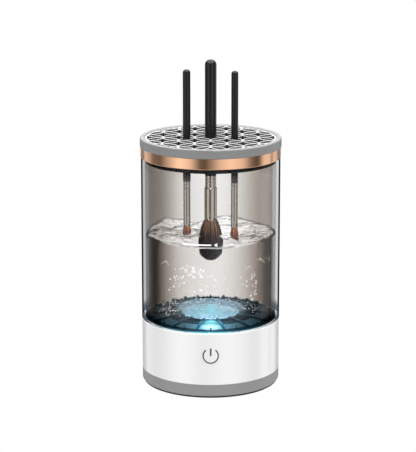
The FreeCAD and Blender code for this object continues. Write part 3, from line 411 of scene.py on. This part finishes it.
def foam_haze():
    """Water full of fine foam over the disc, given off as painted light: pale blue, mottled, with a painted
    pool of lamp light brighter towards the lamp, and soft edges."""
    material, tree = new_material("foam_haze")
    place = position_mm(tree)
    cloud = noise_of(tree, place, 0.2, 4.0, 0.65, 0.8)
    grains = noise_of(tree, place, 1.3, 2.0, 0.8)
    color = ramp(tree, math_node(tree, "MULTIPLY_ADD", grains, 0.5, cloud), [
        (0.55, (0.1, 0.24, 0.36)), (0.75, (0.28, 0.46, 0.6)), (0.9, (0.5, 0.68, 0.78))])
    # Painted lamp light: brighter close to the lamp and along a strip from it towards the middle.
    painted_lamp_pool = ramp(tree, lamp_distance(tree, place), [(0.05, 1.0), (0.25, 0.25), (0.42, 0.0)], True)
    painted_light_plume = math_node(tree, "MULTIPLY", oval(tree, place, (0.0, -21.0), (6.5, 15.0), 0.0), 0.9)
    painted_lamp_pool = math_node(tree, "MAXIMUM", painted_lamp_pool, painted_light_plume)
    lit = mixed(tree, painted_lamp_pool, color, (0.3, 0.88, 0.98, 1))
    cover = math_node(tree, "MULTIPLY", oval(tree, place, HAZE_CENTRE, HAZE_REACH, 0.72), 0.72)
    clear = add(tree, "BsdfTransparent", {"Color": (1, 1, 1, 1)})
    # The painted colour is given off as light, though the foam is no lamp.
    light = add(tree, "Emission", {"Color": lit, "Strength": 1.0})
    shader = add(tree, "MixShader", {0: only_front(tree, cover), 1: clear.outputs[0], 2: light.outputs[0]})
    finish_material(tree, shader.outputs[0])
    return material


# ---------------------------------------------------------------------------------------------------------
# Spinner, lamps and hair
# ---------------------------------------------------------------------------------------------------------
def bowl_navy():
    """Dark blue bowl under water, with lighter rib tops of painted highlight, and frosted panels; the lamp's
    blue light is painted on as emission, fading away from the lamp and strongest on the panels.
    """
    material, tree = new_material("bowl_navy")
    place = position_mm(tree)
    radius = radius_of(tree, place)
    past_crest = math_node(tree, "MAXIMUM", math_node(tree, "SUBTRACT", radius, CREST_RADIUS), 0.0)
    level = math_node(tree, "MULTIPLY_ADD", past_crest, RIB_FALL, height_of(tree, place))
    level = math_node(tree, "DIVIDE", level, SHORT_SPAN)
    ring_mask = ramp(tree, math_node(tree, "DIVIDE", radius, SHORT_SPAN), [
        (0.546, 0.0), (0.549, 1.0), (0.711, 1.0), (0.714, 0.0)])
    panel = math_node(tree, "MULTIPLY", ring_mask, ramp(tree, level, [(0.832, 1.0), (0.834, 0.0)]))
    # Painted highlight: lighter rib tops.
    painted_rib_highlight = ramp(tree, level, [(0.851, 0.0), (0.856, 1.0)])
    mottle = ramp(tree, noise_of(tree, place, 0.3, 4.0, 0.6), [
        (0.3, (0.001, 0.006, 0.013)), (0.7, (0.005, 0.017, 0.028))])
    ribbed = mixed(tree, painted_rib_highlight, mottle, (0.03, 0.085, 0.13, 1))
    frost = ramp(tree, noise_of(tree, place, 0.8, 4.0, 0.7), [
        (0.3, (0.022, 0.05, 0.07)), (0.7, (0.045, 0.09, 0.115))])
    base = mixed(tree, panel, ribbed, frost)
    # Painted lamp light: a pool of blue light given off round the lamp, fading with distance.
    away = lamp_distance(tree, place)
    lamp_light = ramp(tree, away, [
        (0.02, (0.85, 1.0, 0.97)), (0.07, (0.4, 0.8, 0.9)), (0.12, (0.12, 0.35, 0.47)),
        (0.22, (0.07, 0.15, 0.2)), (0.34, (0.012, 0.03, 0.042)), (0.6, (0.0, 0.002, 0.004))])
    # How strongly each place gives off the painted lamp light: most on the panels and close to the lamp.
    close = ramp(tree, away, [(0.07, 0.9), (0.11, 0.0)])
    share = math_node(tree, "MAXIMUM", math_node(tree, "MULTIPLY_ADD", panel, 0.8, 0.2), close)
    fine = noise_of(tree, place, 1.5, 3.0)
    shader = add(tree, "BsdfPrincipled", {"Base Color": base, "Roughness": 0.5, "Specular IOR Level": 0.0,
                                          "Emission Color": lamp_light, "Emission Strength": share,
                                          "Normal": bump(tree, fine, 0.25, 0.15 * MM)})
    finish_material(tree, shader.outputs[0])
    return material


def lattice_rubber():
    """Soft gray lattice, light on its upper faces and darkened down in its gaps by painted shade."""
    material, tree = new_material("grille_silicone")
    place = position_mm(tree)
    depth = math_node(tree, "SUBTRACT", GRILLE_TOP, height_of(tree, place))
    # Painted shade: darker the deeper below the top of the grille.
    shade_of_gap = ramp(tree, math_node(tree, "DIVIDE", depth, 4.0), [
        (0.01, 1.0), (0.03, 0.4), (0.2, 0.2), (0.4, 0.06), (0.6, 0.015)])
    fine = noise_of(tree, place, 3.0, 4.0, 0.6)
    gray = ramp(tree, fine, [(0.3, (0.52, 0.52, 0.525)), (0.7, (0.58, 0.58, 0.585))])
    base = multiplied(tree, gray, shade_of_gap)
    shader = add(tree, "BsdfPrincipled", {"Base Color": base, "Roughness": 0.45, "Specular IOR Level": 0.35,
                                          "Normal": bump(tree, fine, 0.4, 0.03 * MM)})
    finish_material(tree, shader.outputs[0])
    return material


def lid_gray():
    """Satin gray lid, with painted light making it paler along its rounded upper edge and its top face."""
    material, tree = new_material("gray_lid")
    place = position_mm(tree)
    height = math_node(tree, "SUBTRACT", height_of(tree, place), GRILLE_TOP)
    # Painted light: paler just above the top of the grille, on the upper edge and top face.
    pale = ramp(tree, height, [(0.15, 0.0), (0.6, 1.0)])
    fine = noise_of(tree, place, 3.0, 4.0, 0.6)
    side = ramp(tree, fine, [(0.3, (0.22, 0.22, 0.225)), (0.7, (0.235, 0.235, 0.24))])
    base = mixed(tree, pale, side, (0.31, 0.31, 0.315, 1))
    shader = add(tree, "BsdfPrincipled", {"Base Color": base, "Roughness": 0.42,
                                          "Normal": bump(tree, fine, 0.5, 0.03 * MM)})
    finish_material(tree, shader.outputs[0])
    return material


def disc_frost():
    """Frosted disc with a painted glow for the light from below, covered with fine foam."""
    material, tree = new_material("disc_frost")
    place = position_mm(tree)
    foam = add(tree, "TexVoronoi", {"Vector": place, "Scale": 0.9, "Randomness": 1.0}).outputs["Distance"]
    cloud = noise_of(tree, place, 0.16, 4.0, 0.6, 0.5)
    blend = math_node(tree, "MULTIPLY_ADD", foam, 0.35, cloud)
    base = ramp(tree, blend, [(0.35, (0.42, 0.6, 0.72)), (0.85, (0.12, 0.3, 0.44))])
    # Painted light: the disc gives off a faint glow, though it is no lamp.
    lit = ramp(tree, blend, [(0.35, (0.35, 0.62, 0.8)), (0.85, (0.05, 0.2, 0.33))])
    shader = add(tree, "BsdfPrincipled", {"Base Color": base, "Roughness": 0.45, "Emission Color": lit,
                                          "Emission Strength": 0.3, "Specular IOR Level": 0.1,
                                          "Normal": bump(tree, foam, 0.5, 0.3 * MM)})
    finish_material(tree, shader.outputs[0])
    return material


def lamp(name, color, strength):
    """A lit face, faintly mottled."""
    material, tree = new_material(name)
    place = position_mm(tree)
    cell = ramp(tree, noise_of(tree, place, 1.5, 2.0), [(0.3, shade(color, 0.8)), (0.7, color)])
    shader = add(tree, "BsdfPrincipled", {"Base Color": cell, "Roughness": 0.2, "Emission Color": cell,
                                          "Emission Strength": strength})
    finish_material(tree, shader.outputs[0])
    return material


def hair(name, root, middle, tip):
    """Brush hair: every hair has its own tone, and the colour changes from its root to its tip."""
    material, tree = new_material(name)
    tone = add(tree, "Attribute", attribute_name="tone", attribute_type="GEOMETRY").outputs["Color"]
    parts = add(tree, "SeparateColor", {0: tone})
    along = ramp(tree, parts.outputs["Green"], [(0.0, root), (0.12, root), (0.42, middle), (0.62, tip)])
    vary = ramp(tree, parts.outputs["Red"], [(0.0, 0.12), (0.6, 0.6), (0.85, 1.5), (1.0, 2.8)])
    base = multiplied(tree, along, vary)
    shader = add(tree, "BsdfPrincipled", {"Base Color": base, "Roughness": 0.45, "Specular IOR Level": 0.45})
    finish_material(tree, shader.outputs[0])
    return material


MATERIALS = {
    "white_gloss": plastic("white_gloss", (0.86, 0.86, 0.862), 0.3, 1.2, 0.01, 0.006, **{
        "Coat Weight": 1.0, "Coat IOR": 1.7, "Coat Roughness": 0.15}),
    "gray_cover": plastic("gray_cover", (0.27, 0.27, 0.272), 0.45, 3.0, 0.03),
    "gray_lid": lid_gray(),
    "grille_silicone": lattice_rubber(),
    "black_rubber": plastic("black_rubber", (0.012, 0.011, 0.012), 0.6, 2.5, 0.04, 0.1),
    "clear_cup": clear_cup(),
    "rose_gold": turned_metal("rose_gold", (0.85, 0.5, 0.31), 0.13, 4.0, 0.01, 0.05),
    # The white marks give off a little painted light, so they glow faintly though they are no lamp.
    "mark_white": plastic("mark_white", (0.95, 0.95, 0.95), 0.5, 3.0, 0.02, **{
        "Emission Color": (1, 1, 1, 1), "Emission Strength": 0.25}),
    "icon_gray": plastic("icon_gray", (0.045, 0.046, 0.05), 0.5, 3.0, 0.02),
    "bowl_navy": bowl_navy(),
    "disc_frost": disc_frost(),
    "lamp_window": lamp("lamp_window", (0.6, 0.85, 1.0), 0.6),
    "lamp": lamp("lamp", (0.35, 0.8, 1.0), 3.0),
    "steel": turned_metal("steel", (0.56, 0.56, 0.57), 0.28, 3.0, 0.01),
    "bush_brass": turned_metal("bush_brass", (0.72, 0.52, 0.24), 0.3, 3.0, 0.01),
    "coupler_nylon": plastic("coupler_nylon", (0.72, 0.71, 0.66), 0.5, 2.0, 0.03, **{
        "Subsurface Weight": 0.15, "Subsurface Radius": (0.001, 0.001, 0.001)}),
    "motor_steel": turned_metal("motor_steel", (0.5, 0.5, 0.49), 0.35, 2.0, 0.02),
    "motor_black": plastic("motor_black", (0.02, 0.02, 0.021), 0.45, 3.0, 0.03),
    "magnet_ferrite": plastic("magnet_ferrite", (0.05, 0.05, 0.052), 0.7, 1.5, 0.08, 0.2),
    "copper_winding": copper_winding(),
    "board_green": circuit_board(),
    "chip_black": plastic("chip_black", (0.02, 0.02, 0.022), 0.55, 3.0, 0.03),
    "battery_wrap": plastic("battery_wrap", (0.4, 0.42, 0.45), 0.35, 0.6, 0.1, 0.06, **{"Metallic": 0.5}),
    "handle_black": plastic("handle_black", (0.008, 0.008, 0.009), 0.2, 0.5, 0.004, 0.1, **{
        "Specular IOR Level": 0.35}),
    "ferrule_metal": turned_metal("ferrule_metal", (0.5, 0.45, 0.385), 0.06, 3.0, 0.003, 0.06),
    "dark_hair": hair("dark_hair", (0.37, 0.2, 0.13), (0.11, 0.055, 0.048), (0.045, 0.023, 0.03)),
    "red_hair": hair("red_hair", (0.66, 0.25, 0.09), (0.6, 0.19, 0.06), (0.4, 0.1, 0.035)),
}
WATER_SIDE = water_side()
WATER_TOP = water_top()
BUBBLE_SKIN = bubble_skin()
WATER_EDGE = water_edge()
FOAM_HAZE = foam_haze()
LAMP_GLOW = lamp_glow()


# ---------------------------------------------------------------------------------------------------------
# Mesh helpers
# ---------------------------------------------------------------------------------------------------------
def mesh_piece(name, points, faces, material, smooth=True):
    mesh = bpy.data.meshes.new(name)
    mesh.from_pydata(points, [], faces)
    mesh.polygons.foreach_set("use_smooth", [smooth] * len(faces))
    mesh.materials.append(material)
    mesh.update()
    piece = bpy.data.objects.new(name, mesh)
    bpy.context.scene.collection.objects.link(piece)
    return piece


def put_on_slot(piece, body, slot, *replaced):
    """Says which body a piece rides on and which CAD nodes it stands for; the slot argument is not used."""
    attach(piece, body)
    if replaced:
        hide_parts(*replaced)


class Gather:
    """Points and faces of many small shapes, collected into one mesh."""

    def __init__(self):
        self.points = []
        self.faces = []
        self.tones = []

    def add_tube(self, path, radii, sides, tone=None):
        """A closed tapered tube along a path, with one tone of colour for the whole tube."""
        start = len(self.points)
        count = len(path)
        for index, centre in enumerate(path):
            ahead = path[min(index + 1, count - 1)] - path[max(index - 1, 0)]
            ahead.normalize()
            across = ahead.cross(Vector((0.31, 0.87, 0.38))).normalized()
            up = ahead.cross(across)
            for side in range(sides):
                turn = 2 * math.pi * side / sides
                self.points.append(centre + (across * math.cos(turn) + up * math.sin(turn)) * radii[index])
                if tone is not None:
                    self.tones.append((tone, index / (count - 1), 0.0, 1.0))
        for index in range(count - 1):
            for side in range(sides):
                following = (side + 1) % sides
                low, high = start + index * sides, start + (index + 1) * sides
                self.faces.append((low + side, low + following, high + following, high + side))
        self.faces.append(tuple(start + side for side in reversed(range(sides))))
        self.faces.append(tuple(start + (count - 1) * sides + side for side in range(sides)))

    def add_ball(self, centre, radius, template):
        points, faces = template
        start = len(self.points)
        self.points += [centre + point * radius for point in points]
        self.faces += [tuple(start + corner for corner in face) for face in faces]

    def piece(self, name, material):
        made = mesh_piece(name, self.points, self.faces, material)
        if self.tones:
            layer = made.data.color_attributes.new("tone", "FLOAT_COLOR", "POINT")
            layer.data.foreach_set("color", [value for tone in self.tones for value in tone])
        return made


def ball_template(rows, columns):
    """Points and faces of a ball of radius 1, with its poles up and down."""
    points = [Vector((0, 0, 1))]
    for row in range(1, rows):
        down = math.pi * row / rows
        for column in range(columns):
            turn = 2 * math.pi * column / columns
            points.append(Vector((math.sin(down) * math.cos(turn), math.sin(down) * math.sin(turn),
                                  math.cos(down))))
    points.append(Vector((0, 0, -1)))
    last = len(points) - 1
    faces = []
    for column in range(columns):
        following = (column + 1) % columns
        faces.append((0, 1 + column, 1 + following))
        for row in range(rows - 2):
            low = 1 + row * columns
            faces.append((low + column, low + columns + column, low + columns + following, low + following))
        low = 1 + (rows - 2) * columns
        faces.append((last, low + following, low + column))
    return points, faces


def blend_of(stops, value):
    """Value at a place between (place, value) stops, eased from one to the next."""
    if value <= stops[0][0]:
        return stops[0][1]
    for (start, low), (end, high) in zip(stops, stops[1:]):
        if value <= end:
            share = (value - start) / (end - start)
            share = share * share * (3 - 2 * share)
            return low + (high - low) * share
    return stops[-1][1]


# ---------------------------------------------------------------------------------------------------------
# Brush hair
# ---------------------------------------------------------------------------------------------------------
SIDE_BRUSH_X = 14.325
SIDE_BRUSH_Y = -4.775
HAIR_STEPS = 9
TAPER_START = 0.6
CORE_STEPS = 14
CORE_SHARE = 0.84


def hair_bundle(name, axis, root_z, outline, end_of, count, thickness, wander, material, seed):
    """Hairs fanned out from the mouth of a ferrule inside an outline of (height, radius), each one as
    long as end_of says for its place across the tuft."""
    dice = random.Random(seed)
    bundle = Gather()
    for _ in range(count):
        share = math.sqrt(dice.random())
        turn = dice.uniform(0, 2 * math.pi)
        end = end_of(share, turn) + dice.gauss(0, 0.25)
        lean = dice.gauss(0, wander)
        twist = dice.gauss(0, 0.06)
        path = []
        radii = []
        for step in range(HAIR_STEPS):
            along = step / (HAIR_STEPS - 1)
            height = root_z + (end - root_z) * along
            spread = blend_of(outline, height) * share
            loose = lean * along * along
            angle = turn + twist * along
            path.append(Vector((axis[0] + (spread + loose) * math.cos(angle),
                                axis[1] + (spread + loose) * math.sin(angle), height)) * MM)
            taper = 0.75 * max(0.0, along - TAPER_START) / (1 - TAPER_START)
            radii.append(thickness * MM * (1.0 - taper))
        bundle.add_tube(path, radii, 3, dice.random())
    add_core(bundle, axis, root_z, outline, end_of(0.3, 0.0))
    return bundle.piece(name, material)


def add_core(bundle, axis, root_z, outline, inner_end):
    """A solid middle, dark with painted shade of the dense hairs inside the tuft, so that no light shows
    through between the hairs.
    """
    core_path = []
    core_radii = []
    for step in range(CORE_STEPS):
        along = step / (CORE_STEPS - 1)
        height = root_z + (inner_end + 1.2 - root_z) * along
        core_path.append(Vector((axis[0], axis[1], height)) * MM)
        close = min(1.0, (1.0 - along) / 0.3)
        core_radii.append(max(blend_of(outline, height) * CORE_SHARE * math.sqrt(close), 0.05) * MM)
    # The core's tone is set low, which makes it dark: painted shade of the hairs inside the tuft.
    bundle.add_tube(core_path, core_radii, 20, 0.12)


def make_center_hair():
    outline = [(74.4, 5.2), (79.9, 6.9), (86.5, 7.5), (90.5, 6.9), (94.6, 5.9), (98.3, 4.7), (100.2, 3.45)]

    def end_of(share, turn):
        return 74.7 + 4.6 * (1 - math.sqrt(max(0.0, 1 - share ** 2.4)))

    piece = hair_bundle("center_hair", (0.0, 0.0), 100.8, outline, end_of, 1900, 0.12, 0.22,
                        MATERIALS["dark_hair"], 3)
    put_on_slot(piece, "center_brush", "dark_hair", "center_bristles")


def make_side_hair(side, axis_x, root_z, low, slope, seed):
    outline = [(low, 2.7), (low + 4, 2.5), (root_z, 1.8)]

    def end_of(share, turn):
        return low + 1.3 + slope * share * math.cos(turn) * 2.6

    piece = hair_bundle(side + "_hair", (axis_x, SIDE_BRUSH_Y), root_z + 0.8, outline, end_of, 520, 0.085,
                        0.12, MATERIALS["red_hair"], seed)
    put_on_slot(piece, side + "_brush", "red_hair", side + "_bristles")


# ---------------------------------------------------------------------------------------------------------
# Water
# ---------------------------------------------------------------------------------------------------------
WATER_RADIUS = 39.42
WATER_LEVEL = 90.9
WATER_LOW = 41.3
CLIMB_WIDTH = 1.1
CLIMB_HEIGHT = 0.55
# Degrees round the cup from its right side, anticlockwise from above, and height of the edge there.
EDGE_WAVES = [
    (0, 0.3), (40, -0.2), (58, 0.8), (72, 2.0), (90, 0.2), (104, -3.0), (120, 0.8), (136, 3.4), (155, 1.6),
    (180, -1.0), (215, 0.4), (250, 0.2), (275, -0.3), (305, 0.5), (335, 0.9), (360, 0.3)]


def surface_height(radius, turn):
    """Height of the stirred water: waves along the edge that die away inwards, and swirls."""
    share = radius / WATER_RADIUS
    edge = blend_of(EDGE_WAVES, math.degrees(turn) % 360)
    swirl = turn + 1.6 * share
    place = Vector((share * math.cos(swirl), share * math.sin(swirl), 0.0))
    broad = noise.fractal(place * 2.4 + Vector((3.1, 0.7, 0.4)), 0.9, 2.0, 3)
    ridges = 1 - abs(noise.noise(place * 3.6 + Vector((0.3, 5.2, 1.9)))) * 2.6
    dip = -1.2 * (1 - share) ** 2
    fade = 1 - 0.65 * share ** 4
    return WATER_LEVEL + edge * share ** 2.2 + fade * (2.2 * broad + 0.9 * ridges) + dip


def make_water():
    columns, rows = 220, 70
    points = [Vector((0, 0, surface_height(0.0, 0.0) * MM))]
    for row in range(1, rows + 1):
        radius = WATER_RADIUS * (row / rows) ** 0.85
        for column in range(columns):
            turn = 2 * math.pi * column / columns
            lift = CLIMB_HEIGHT * max(0.0, (radius - WATER_RADIUS + CLIMB_WIDTH) / CLIMB_WIDTH) ** 2
            points.append(Vector((radius * math.cos(turn), radius * math.sin(turn),
                                  surface_height(radius, turn) + lift)) * MM)
    faces = []
    for column in range(columns):
        following = (column + 1) % columns
        faces.append((0, 1 + column, 1 + following))
        for row in range(rows - 1):
            low = 1 + row * columns
            faces.append((low + column, low + columns + column, low + columns + following, low + following))
    edge_row = [tuple(point) for point in points[-columns:]]
    surface = mesh_piece("water_surface", points, faces, WATER_TOP)
    put_on_slot(surface, "cup", "clear_cup")
    make_water_body(edge_row)
    make_water_edge(edge_row)


def make_water_body(edge_row):
    """The water's outer face, from the floor of the cup up to the surface's edge."""
    columns = len(edge_row)
    levels = 24
    side_points = []
    for level in range(levels + 1):
        share = level / levels
        for x, y, top in edge_row:
            side_points.append((x, y, WATER_LOW * MM + (top - WATER_LOW * MM) * share))
    side_faces = []
    for level in range(levels):
        low, high = level * columns, (level + 1) * columns
        for column in range(columns):
            following = (column + 1) % columns
            side_faces.append((low + column, low + following, high + following, high + column))
    side = mesh_piece("water_body", side_points, side_faces, WATER_SIDE)
    put_on_slot(side, "cup", "clear_cup")


def make_water_edge(edge_row):
    """A thin ring of water drawn up along the wall, all round the surface."""
    sides = 10
    points = []
    for x, y, top in edge_row:
        outward = Vector((x, y, 0)).normalized()
        thickness = blend_of([(0.55, 0.45), (0.85, 0.85)], abs(outward.x))
        inwards = 1 - thickness / WATER_RADIUS
        centre = Vector((x * inwards, y * inwards, top))
        for side in range(sides):
            turn = 2 * math.pi * side / sides
            around = outward * math.cos(turn) + Vector((0, 0, math.sin(turn)))
            points.append(centre + around * thickness * MM)
    count = len(edge_row)
    faces = []
    for place in range(count):
        low, high = place * sides, (place + 1) % count * sides
        for side in range(sides):
            following = (side + 1) % sides
            faces.append((low + side, high + side, high + following, low + following))
    edge = mesh_piece("water_edge", points, faces, WATER_EDGE)
    put_on_slot(edge, "cup", "clear_cup")


BUBBLE_CLOUDS = [
    # count, centre, spread, smallest and largest radius
    (22, (-11.2, -25.0, 72.5), (6.0, 2.0, 4.0), 0.15, 0.4),
    (22, (-21.4, -24.0, 68.5), (2.6, 2.0, 5.0), 0.15, 0.42),
    (8, (2.0, -25.0, 62.0), (9.0, 3.0, 6.0), 0.15, 0.35),
    (10, (24.0, -22.0, 66.0), (5.0, 3.0, 7.0), 0.25, 0.5),
    (8, (27.0, -16.0, 60.0), (4.0, 3.0, 6.0), 0.3, 0.5),
    (80, (-24.0, -10.0, 47.0), (7.0, 11.0, 2.6), 0.13, 0.27),
    (520, (-1.0, -9.0, 48.0), (17.0, 13.0, 2.2), 0.09, 0.24),
    (34, (-2.0, -22.0, 46.0), (6.0, 5.0, 2.0), 0.13, 0.3),
    (14, (-6.0, 32.0, 45.5), (11.0, 2.5, 1.2), 0.13, 0.3),
    (14, (25.0, -8.0, 47.0), (6.0, 11.0, 2.5), 0.12, 0.27),
    (50, (0.0, 0.0, 56.0), (20.0, 14.0, 8.0), 0.1, 0.22),
]
BUBBLE_CURLS = [
    # centre, width, height, number of loops, radius of the bubbles
    ((-11.5, -25.0, 75.0), 12.0, 2.6, 3.0, 0.28),
    ((-9.0, -25.0, 71.0), 9.0, 1.8, 2.0, 0.26),
    ((1.4, -26.0, 70.2), 4.2, 3.2, 1.0, 0.22),
    ((-27.3, -22.0, 77.0), 3.8, 5.0, 0.5, 0.28),
    ((23.2, -25.0, 74.5), 4.2, 5.5, 0.6, 0.22),
    ((31.4, -18.0, 79.0), 5.4, 2.2, 1.5, 0.34),
    ((-10.0, 32.0, 46.0), 8.0, 1.6, 1.5, 0.18),
]
BALL = ball_template(7, 10)


BUBBLE_SCALE = 1.4
BEADS_PER_MM = 4.5
LOWEST_BUBBLE = 43.6


def inside_water(place):
    return place.xy.length < WATER_RADIUS - 1.5 and LOWEST_BUBBLE < place.z < WATER_LEVEL - 5


def make_bubbles():
    """Loose clouds of bubbles, and short curling strings of them."""
    dice = random.Random(11)
    bubbles = Gather()
    for count, centre, spread, smallest, largest in BUBBLE_CLOUDS:
        for _ in range(count):
            place = Vector([middle + dice.gauss(0, reach * 0.6) for middle, reach in zip(centre, spread)])
            size = BUBBLE_SCALE * (smallest + (largest - smallest) * dice.random() ** 2)
            if inside_water(place):
                bubbles.add_ball(place * MM, size * MM, BALL)
    for centre, width, height, loops, size in BUBBLE_CURLS:
        beads = int(width * BEADS_PER_MM)
        for bead in range(beads):
            along = bead / (beads - 1)
            turn = 2 * math.pi * loops * along
            wobble = Vector((0.9 * math.sin(turn * 1.7), 0.0, 0.35 * math.cos(turn * 2.3)))
            place = Vector(centre) + wobble + Vector((width * (along - 0.5) - 0.9 * math.cos(turn),
                                                      0.6 * math.sin(turn), height * 0.5 * math.sin(turn)))
            bubbles.add_ball(place * MM, size * dice.uniform(0.5, 1.25) * MM, BALL)
    piece = bubbles.piece("water_bubbles", BUBBLE_SKIN)
    put_on_slot(piece, "cup", "clear_cup")


GLOW_CENTRE = (0.0, -31.5, 42.2)
GLOW_REACHES = [(8.5, 5.5, 3.0), (5.0, 4.5, 2.8)]


def add_ellipsoid(gather, centre, reach, template):
    points, faces = template
    shaped = [Vector([part * size for part, size in zip(point, reach)]) for point in points]
    gather.add_ball(Vector(centre) * MM, MM, (shaped, faces))


def make_glow():
    """Two soft bodies of light over the lamp, one inside the other, and the foam over the disc that gives
    off painted light.
    """
    light = Gather()
    shape = ball_template(24, 36)
    for reach in GLOW_REACHES:
        add_ellipsoid(light, GLOW_CENTRE, reach, shape)
    put_on_slot(light.piece("light_glow", LAMP_GLOW), "cup", "lamp_window")
    foam = Gather()
    add_ellipsoid(foam, (*HAZE_CENTRE, 45.0), (*HAZE_REACH, 5.0), shape)
    put_on_slot(foam.piece("lit_foam", FOAM_HAZE), "cup", "clear_cup")


# ---------------------------------------------------------------------------------------------------------
# Studio: camera, surroundings, floor, lamp
# ---------------------------------------------------------------------------------------------------------
SURROUNDINGS = [
    # degrees round the object, 0 towards the camera and positive to its right, and brightness
    (-180, 0.95), (-168, 0.95), (-160, 0.3), (-142, 0.3), (-135, 0.9), (-118, 0.6), (-109, 0.25),
    (-97, 0.2), (-88, 0.2), (-71, 0.72), (-52, 1.35), (-34, 1.0), (-18, 0.18), (-9, 0.12), (2, 0.42),
    (15, 0.9), (32, 1.2), (53, 0.93), (68, 0.3), (77, 0.13), (86, 0.15), (97, 1.0), (113, 1.0), (118, 0.3),
    (124, 0.9), (135, 0.9), (142, 0.3), (160, 0.3), (168, 0.95), (180, 0.95)]
BRIGHTEST = 1.35
CEILING = 3.6


def make_world():
    """White to the camera; to reflections a ring of light and dark panels under a bright ceiling."""
    world = bpy.data.worlds.new("studio")
    bpy.context.scene.world = world
    world.use_nodes = True
    tree = world.node_tree
    tree.nodes.clear()
    direction = add(tree, "TexCoord").outputs["Generated"]
    parts = add(tree, "SeparateXYZ", {0: direction})
    toward = math_node(tree, "MULTIPLY", parts.outputs["Y"], -1.0)
    turn = math_node(tree, "ARCTAN2", parts.outputs["X"], toward)
    share = math_node(tree, "MULTIPLY_ADD", turn, 1 / (2 * math.pi), 0.5)
    around = ramp(tree, share, [((degrees + 180) / 360, brightness / BRIGHTEST)
                                for degrees, brightness in SURROUNDINGS])
    around = multiplied(tree, around, (BRIGHTEST,) * 3 + (1,))
    level = math_node(tree, "MULTIPLY_ADD", parts.outputs["Z"], 0.5, 0.5)
    gap = ramp(tree, level, [(0.63, 1.0), (0.68, 0.2), (0.75, 0.2), (0.79, 1.0)])
    around = multiplied(tree, around, gap)
    below = ramp(tree, level, [(0.225, 1.0), (0.325, 0.0)])
    around = mixed(tree, below, around, (1, 1, 1, 1))
    overhead = ramp(tree, level, [(0.78, 0.0), (0.87, 1.0)], True)
    sky = mixed(tree, overhead, around, (CEILING,) * 3 + (1,))
    light = add(tree, "Background", {"Color": sky, "Strength": 1.0})
    white = add(tree, "Background", {"Color": (1, 1, 1, 1), "Strength": 1.0})
    seen = add(tree, "LightPath").outputs["Is Camera Ray"]
    both = add(tree, "MixShader", {0: seen, 1: light.outputs[0], 2: white.outputs[0]})
    add(tree, "OutputWorld", {"Surface": both.outputs[0]})


def make_floor():
    """A white floor, evenly lit so that it runs into the white surroundings."""
    material, tree = new_material("white_floor")
    seen = add(tree, "LightPath").outputs["Is Camera Ray"]
    white = add(tree, "BsdfDiffuse", {"Color": (0.85, 0.85, 0.85, 1)})
    even = add(tree, "Emission", {"Color": (1, 1, 1, 1), "Strength": 1.0})
    shader = add(tree, "MixShader", {0: seen, 1: white.outputs[0], 2: even.outputs[0]})
    finish_material(tree, shader.outputs[0])
    reach = 3.0
    corners = [(-reach, -reach, 0), (reach, -reach, 0), (reach, reach, 0), (-reach, reach, 0)]
    floor = mesh_piece("floor", corners, [(0, 1, 2, 3)], material, smooth=False)
    floor.visible_glossy = False
    floor.visible_diffuse = False


def make_lamp_light():
    """The lamp's blue light on its neighbours."""
    data = bpy.data.lights.new("lamp_light", "POINT")
    data.color = (0.25, 0.75, 1.0)
    data.energy = 0.012
    data.shadow_soft_size = 0.002
    light = bpy.data.objects.new("lamp_light", data)
    light.location = Vector((0.0, -30.0, 45.5)) * MM
    bpy.context.scene.collection.objects.link(light)


def make_camera():
    data = bpy.data.cameras.new("camera")
    data.lens = 148.8
    data.sensor_width = 36.0
    data.clip_start = 0.05
    data.clip_end = 20.0
    camera = bpy.data.objects.new("camera", data)
    place = Vector((-0.0016, -1.1027, 0.3605))
    target = Vector((-0.0016, 0.0, 0.0958))
    camera.location = place
    camera.rotation_euler = (target - place).to_track_quat("-Z", "Y").to_euler()
    bpy.context.scene.collection.objects.link(camera)
    bpy.context.scene.camera = camera


# ---------------------------------------------------------------------------------------------------------
# Everything together
# ---------------------------------------------------------------------------------------------------------
for name, node in nodes.items():
    node.data.materials.clear()
    node.data.materials.append(MATERIALS[slot_of[name]])

make_center_hair()
make_side_hair("left", -SIDE_BRUSH_X, 97.2, 90.6, 0.22, 5)
make_side_hair("right", SIDE_BRUSH_X, 96.3, 87.7, -0.48, 7)
make_water()
make_bubbles()
make_glow()
make_world()
make_floor()
make_lamp_light()
make_camera()

scene = bpy.context.scene
scene.view_settings.view_transform = "Standard"
scene.view_settings.look = "None"
scene.cycles.transparent_max_bounces = 32
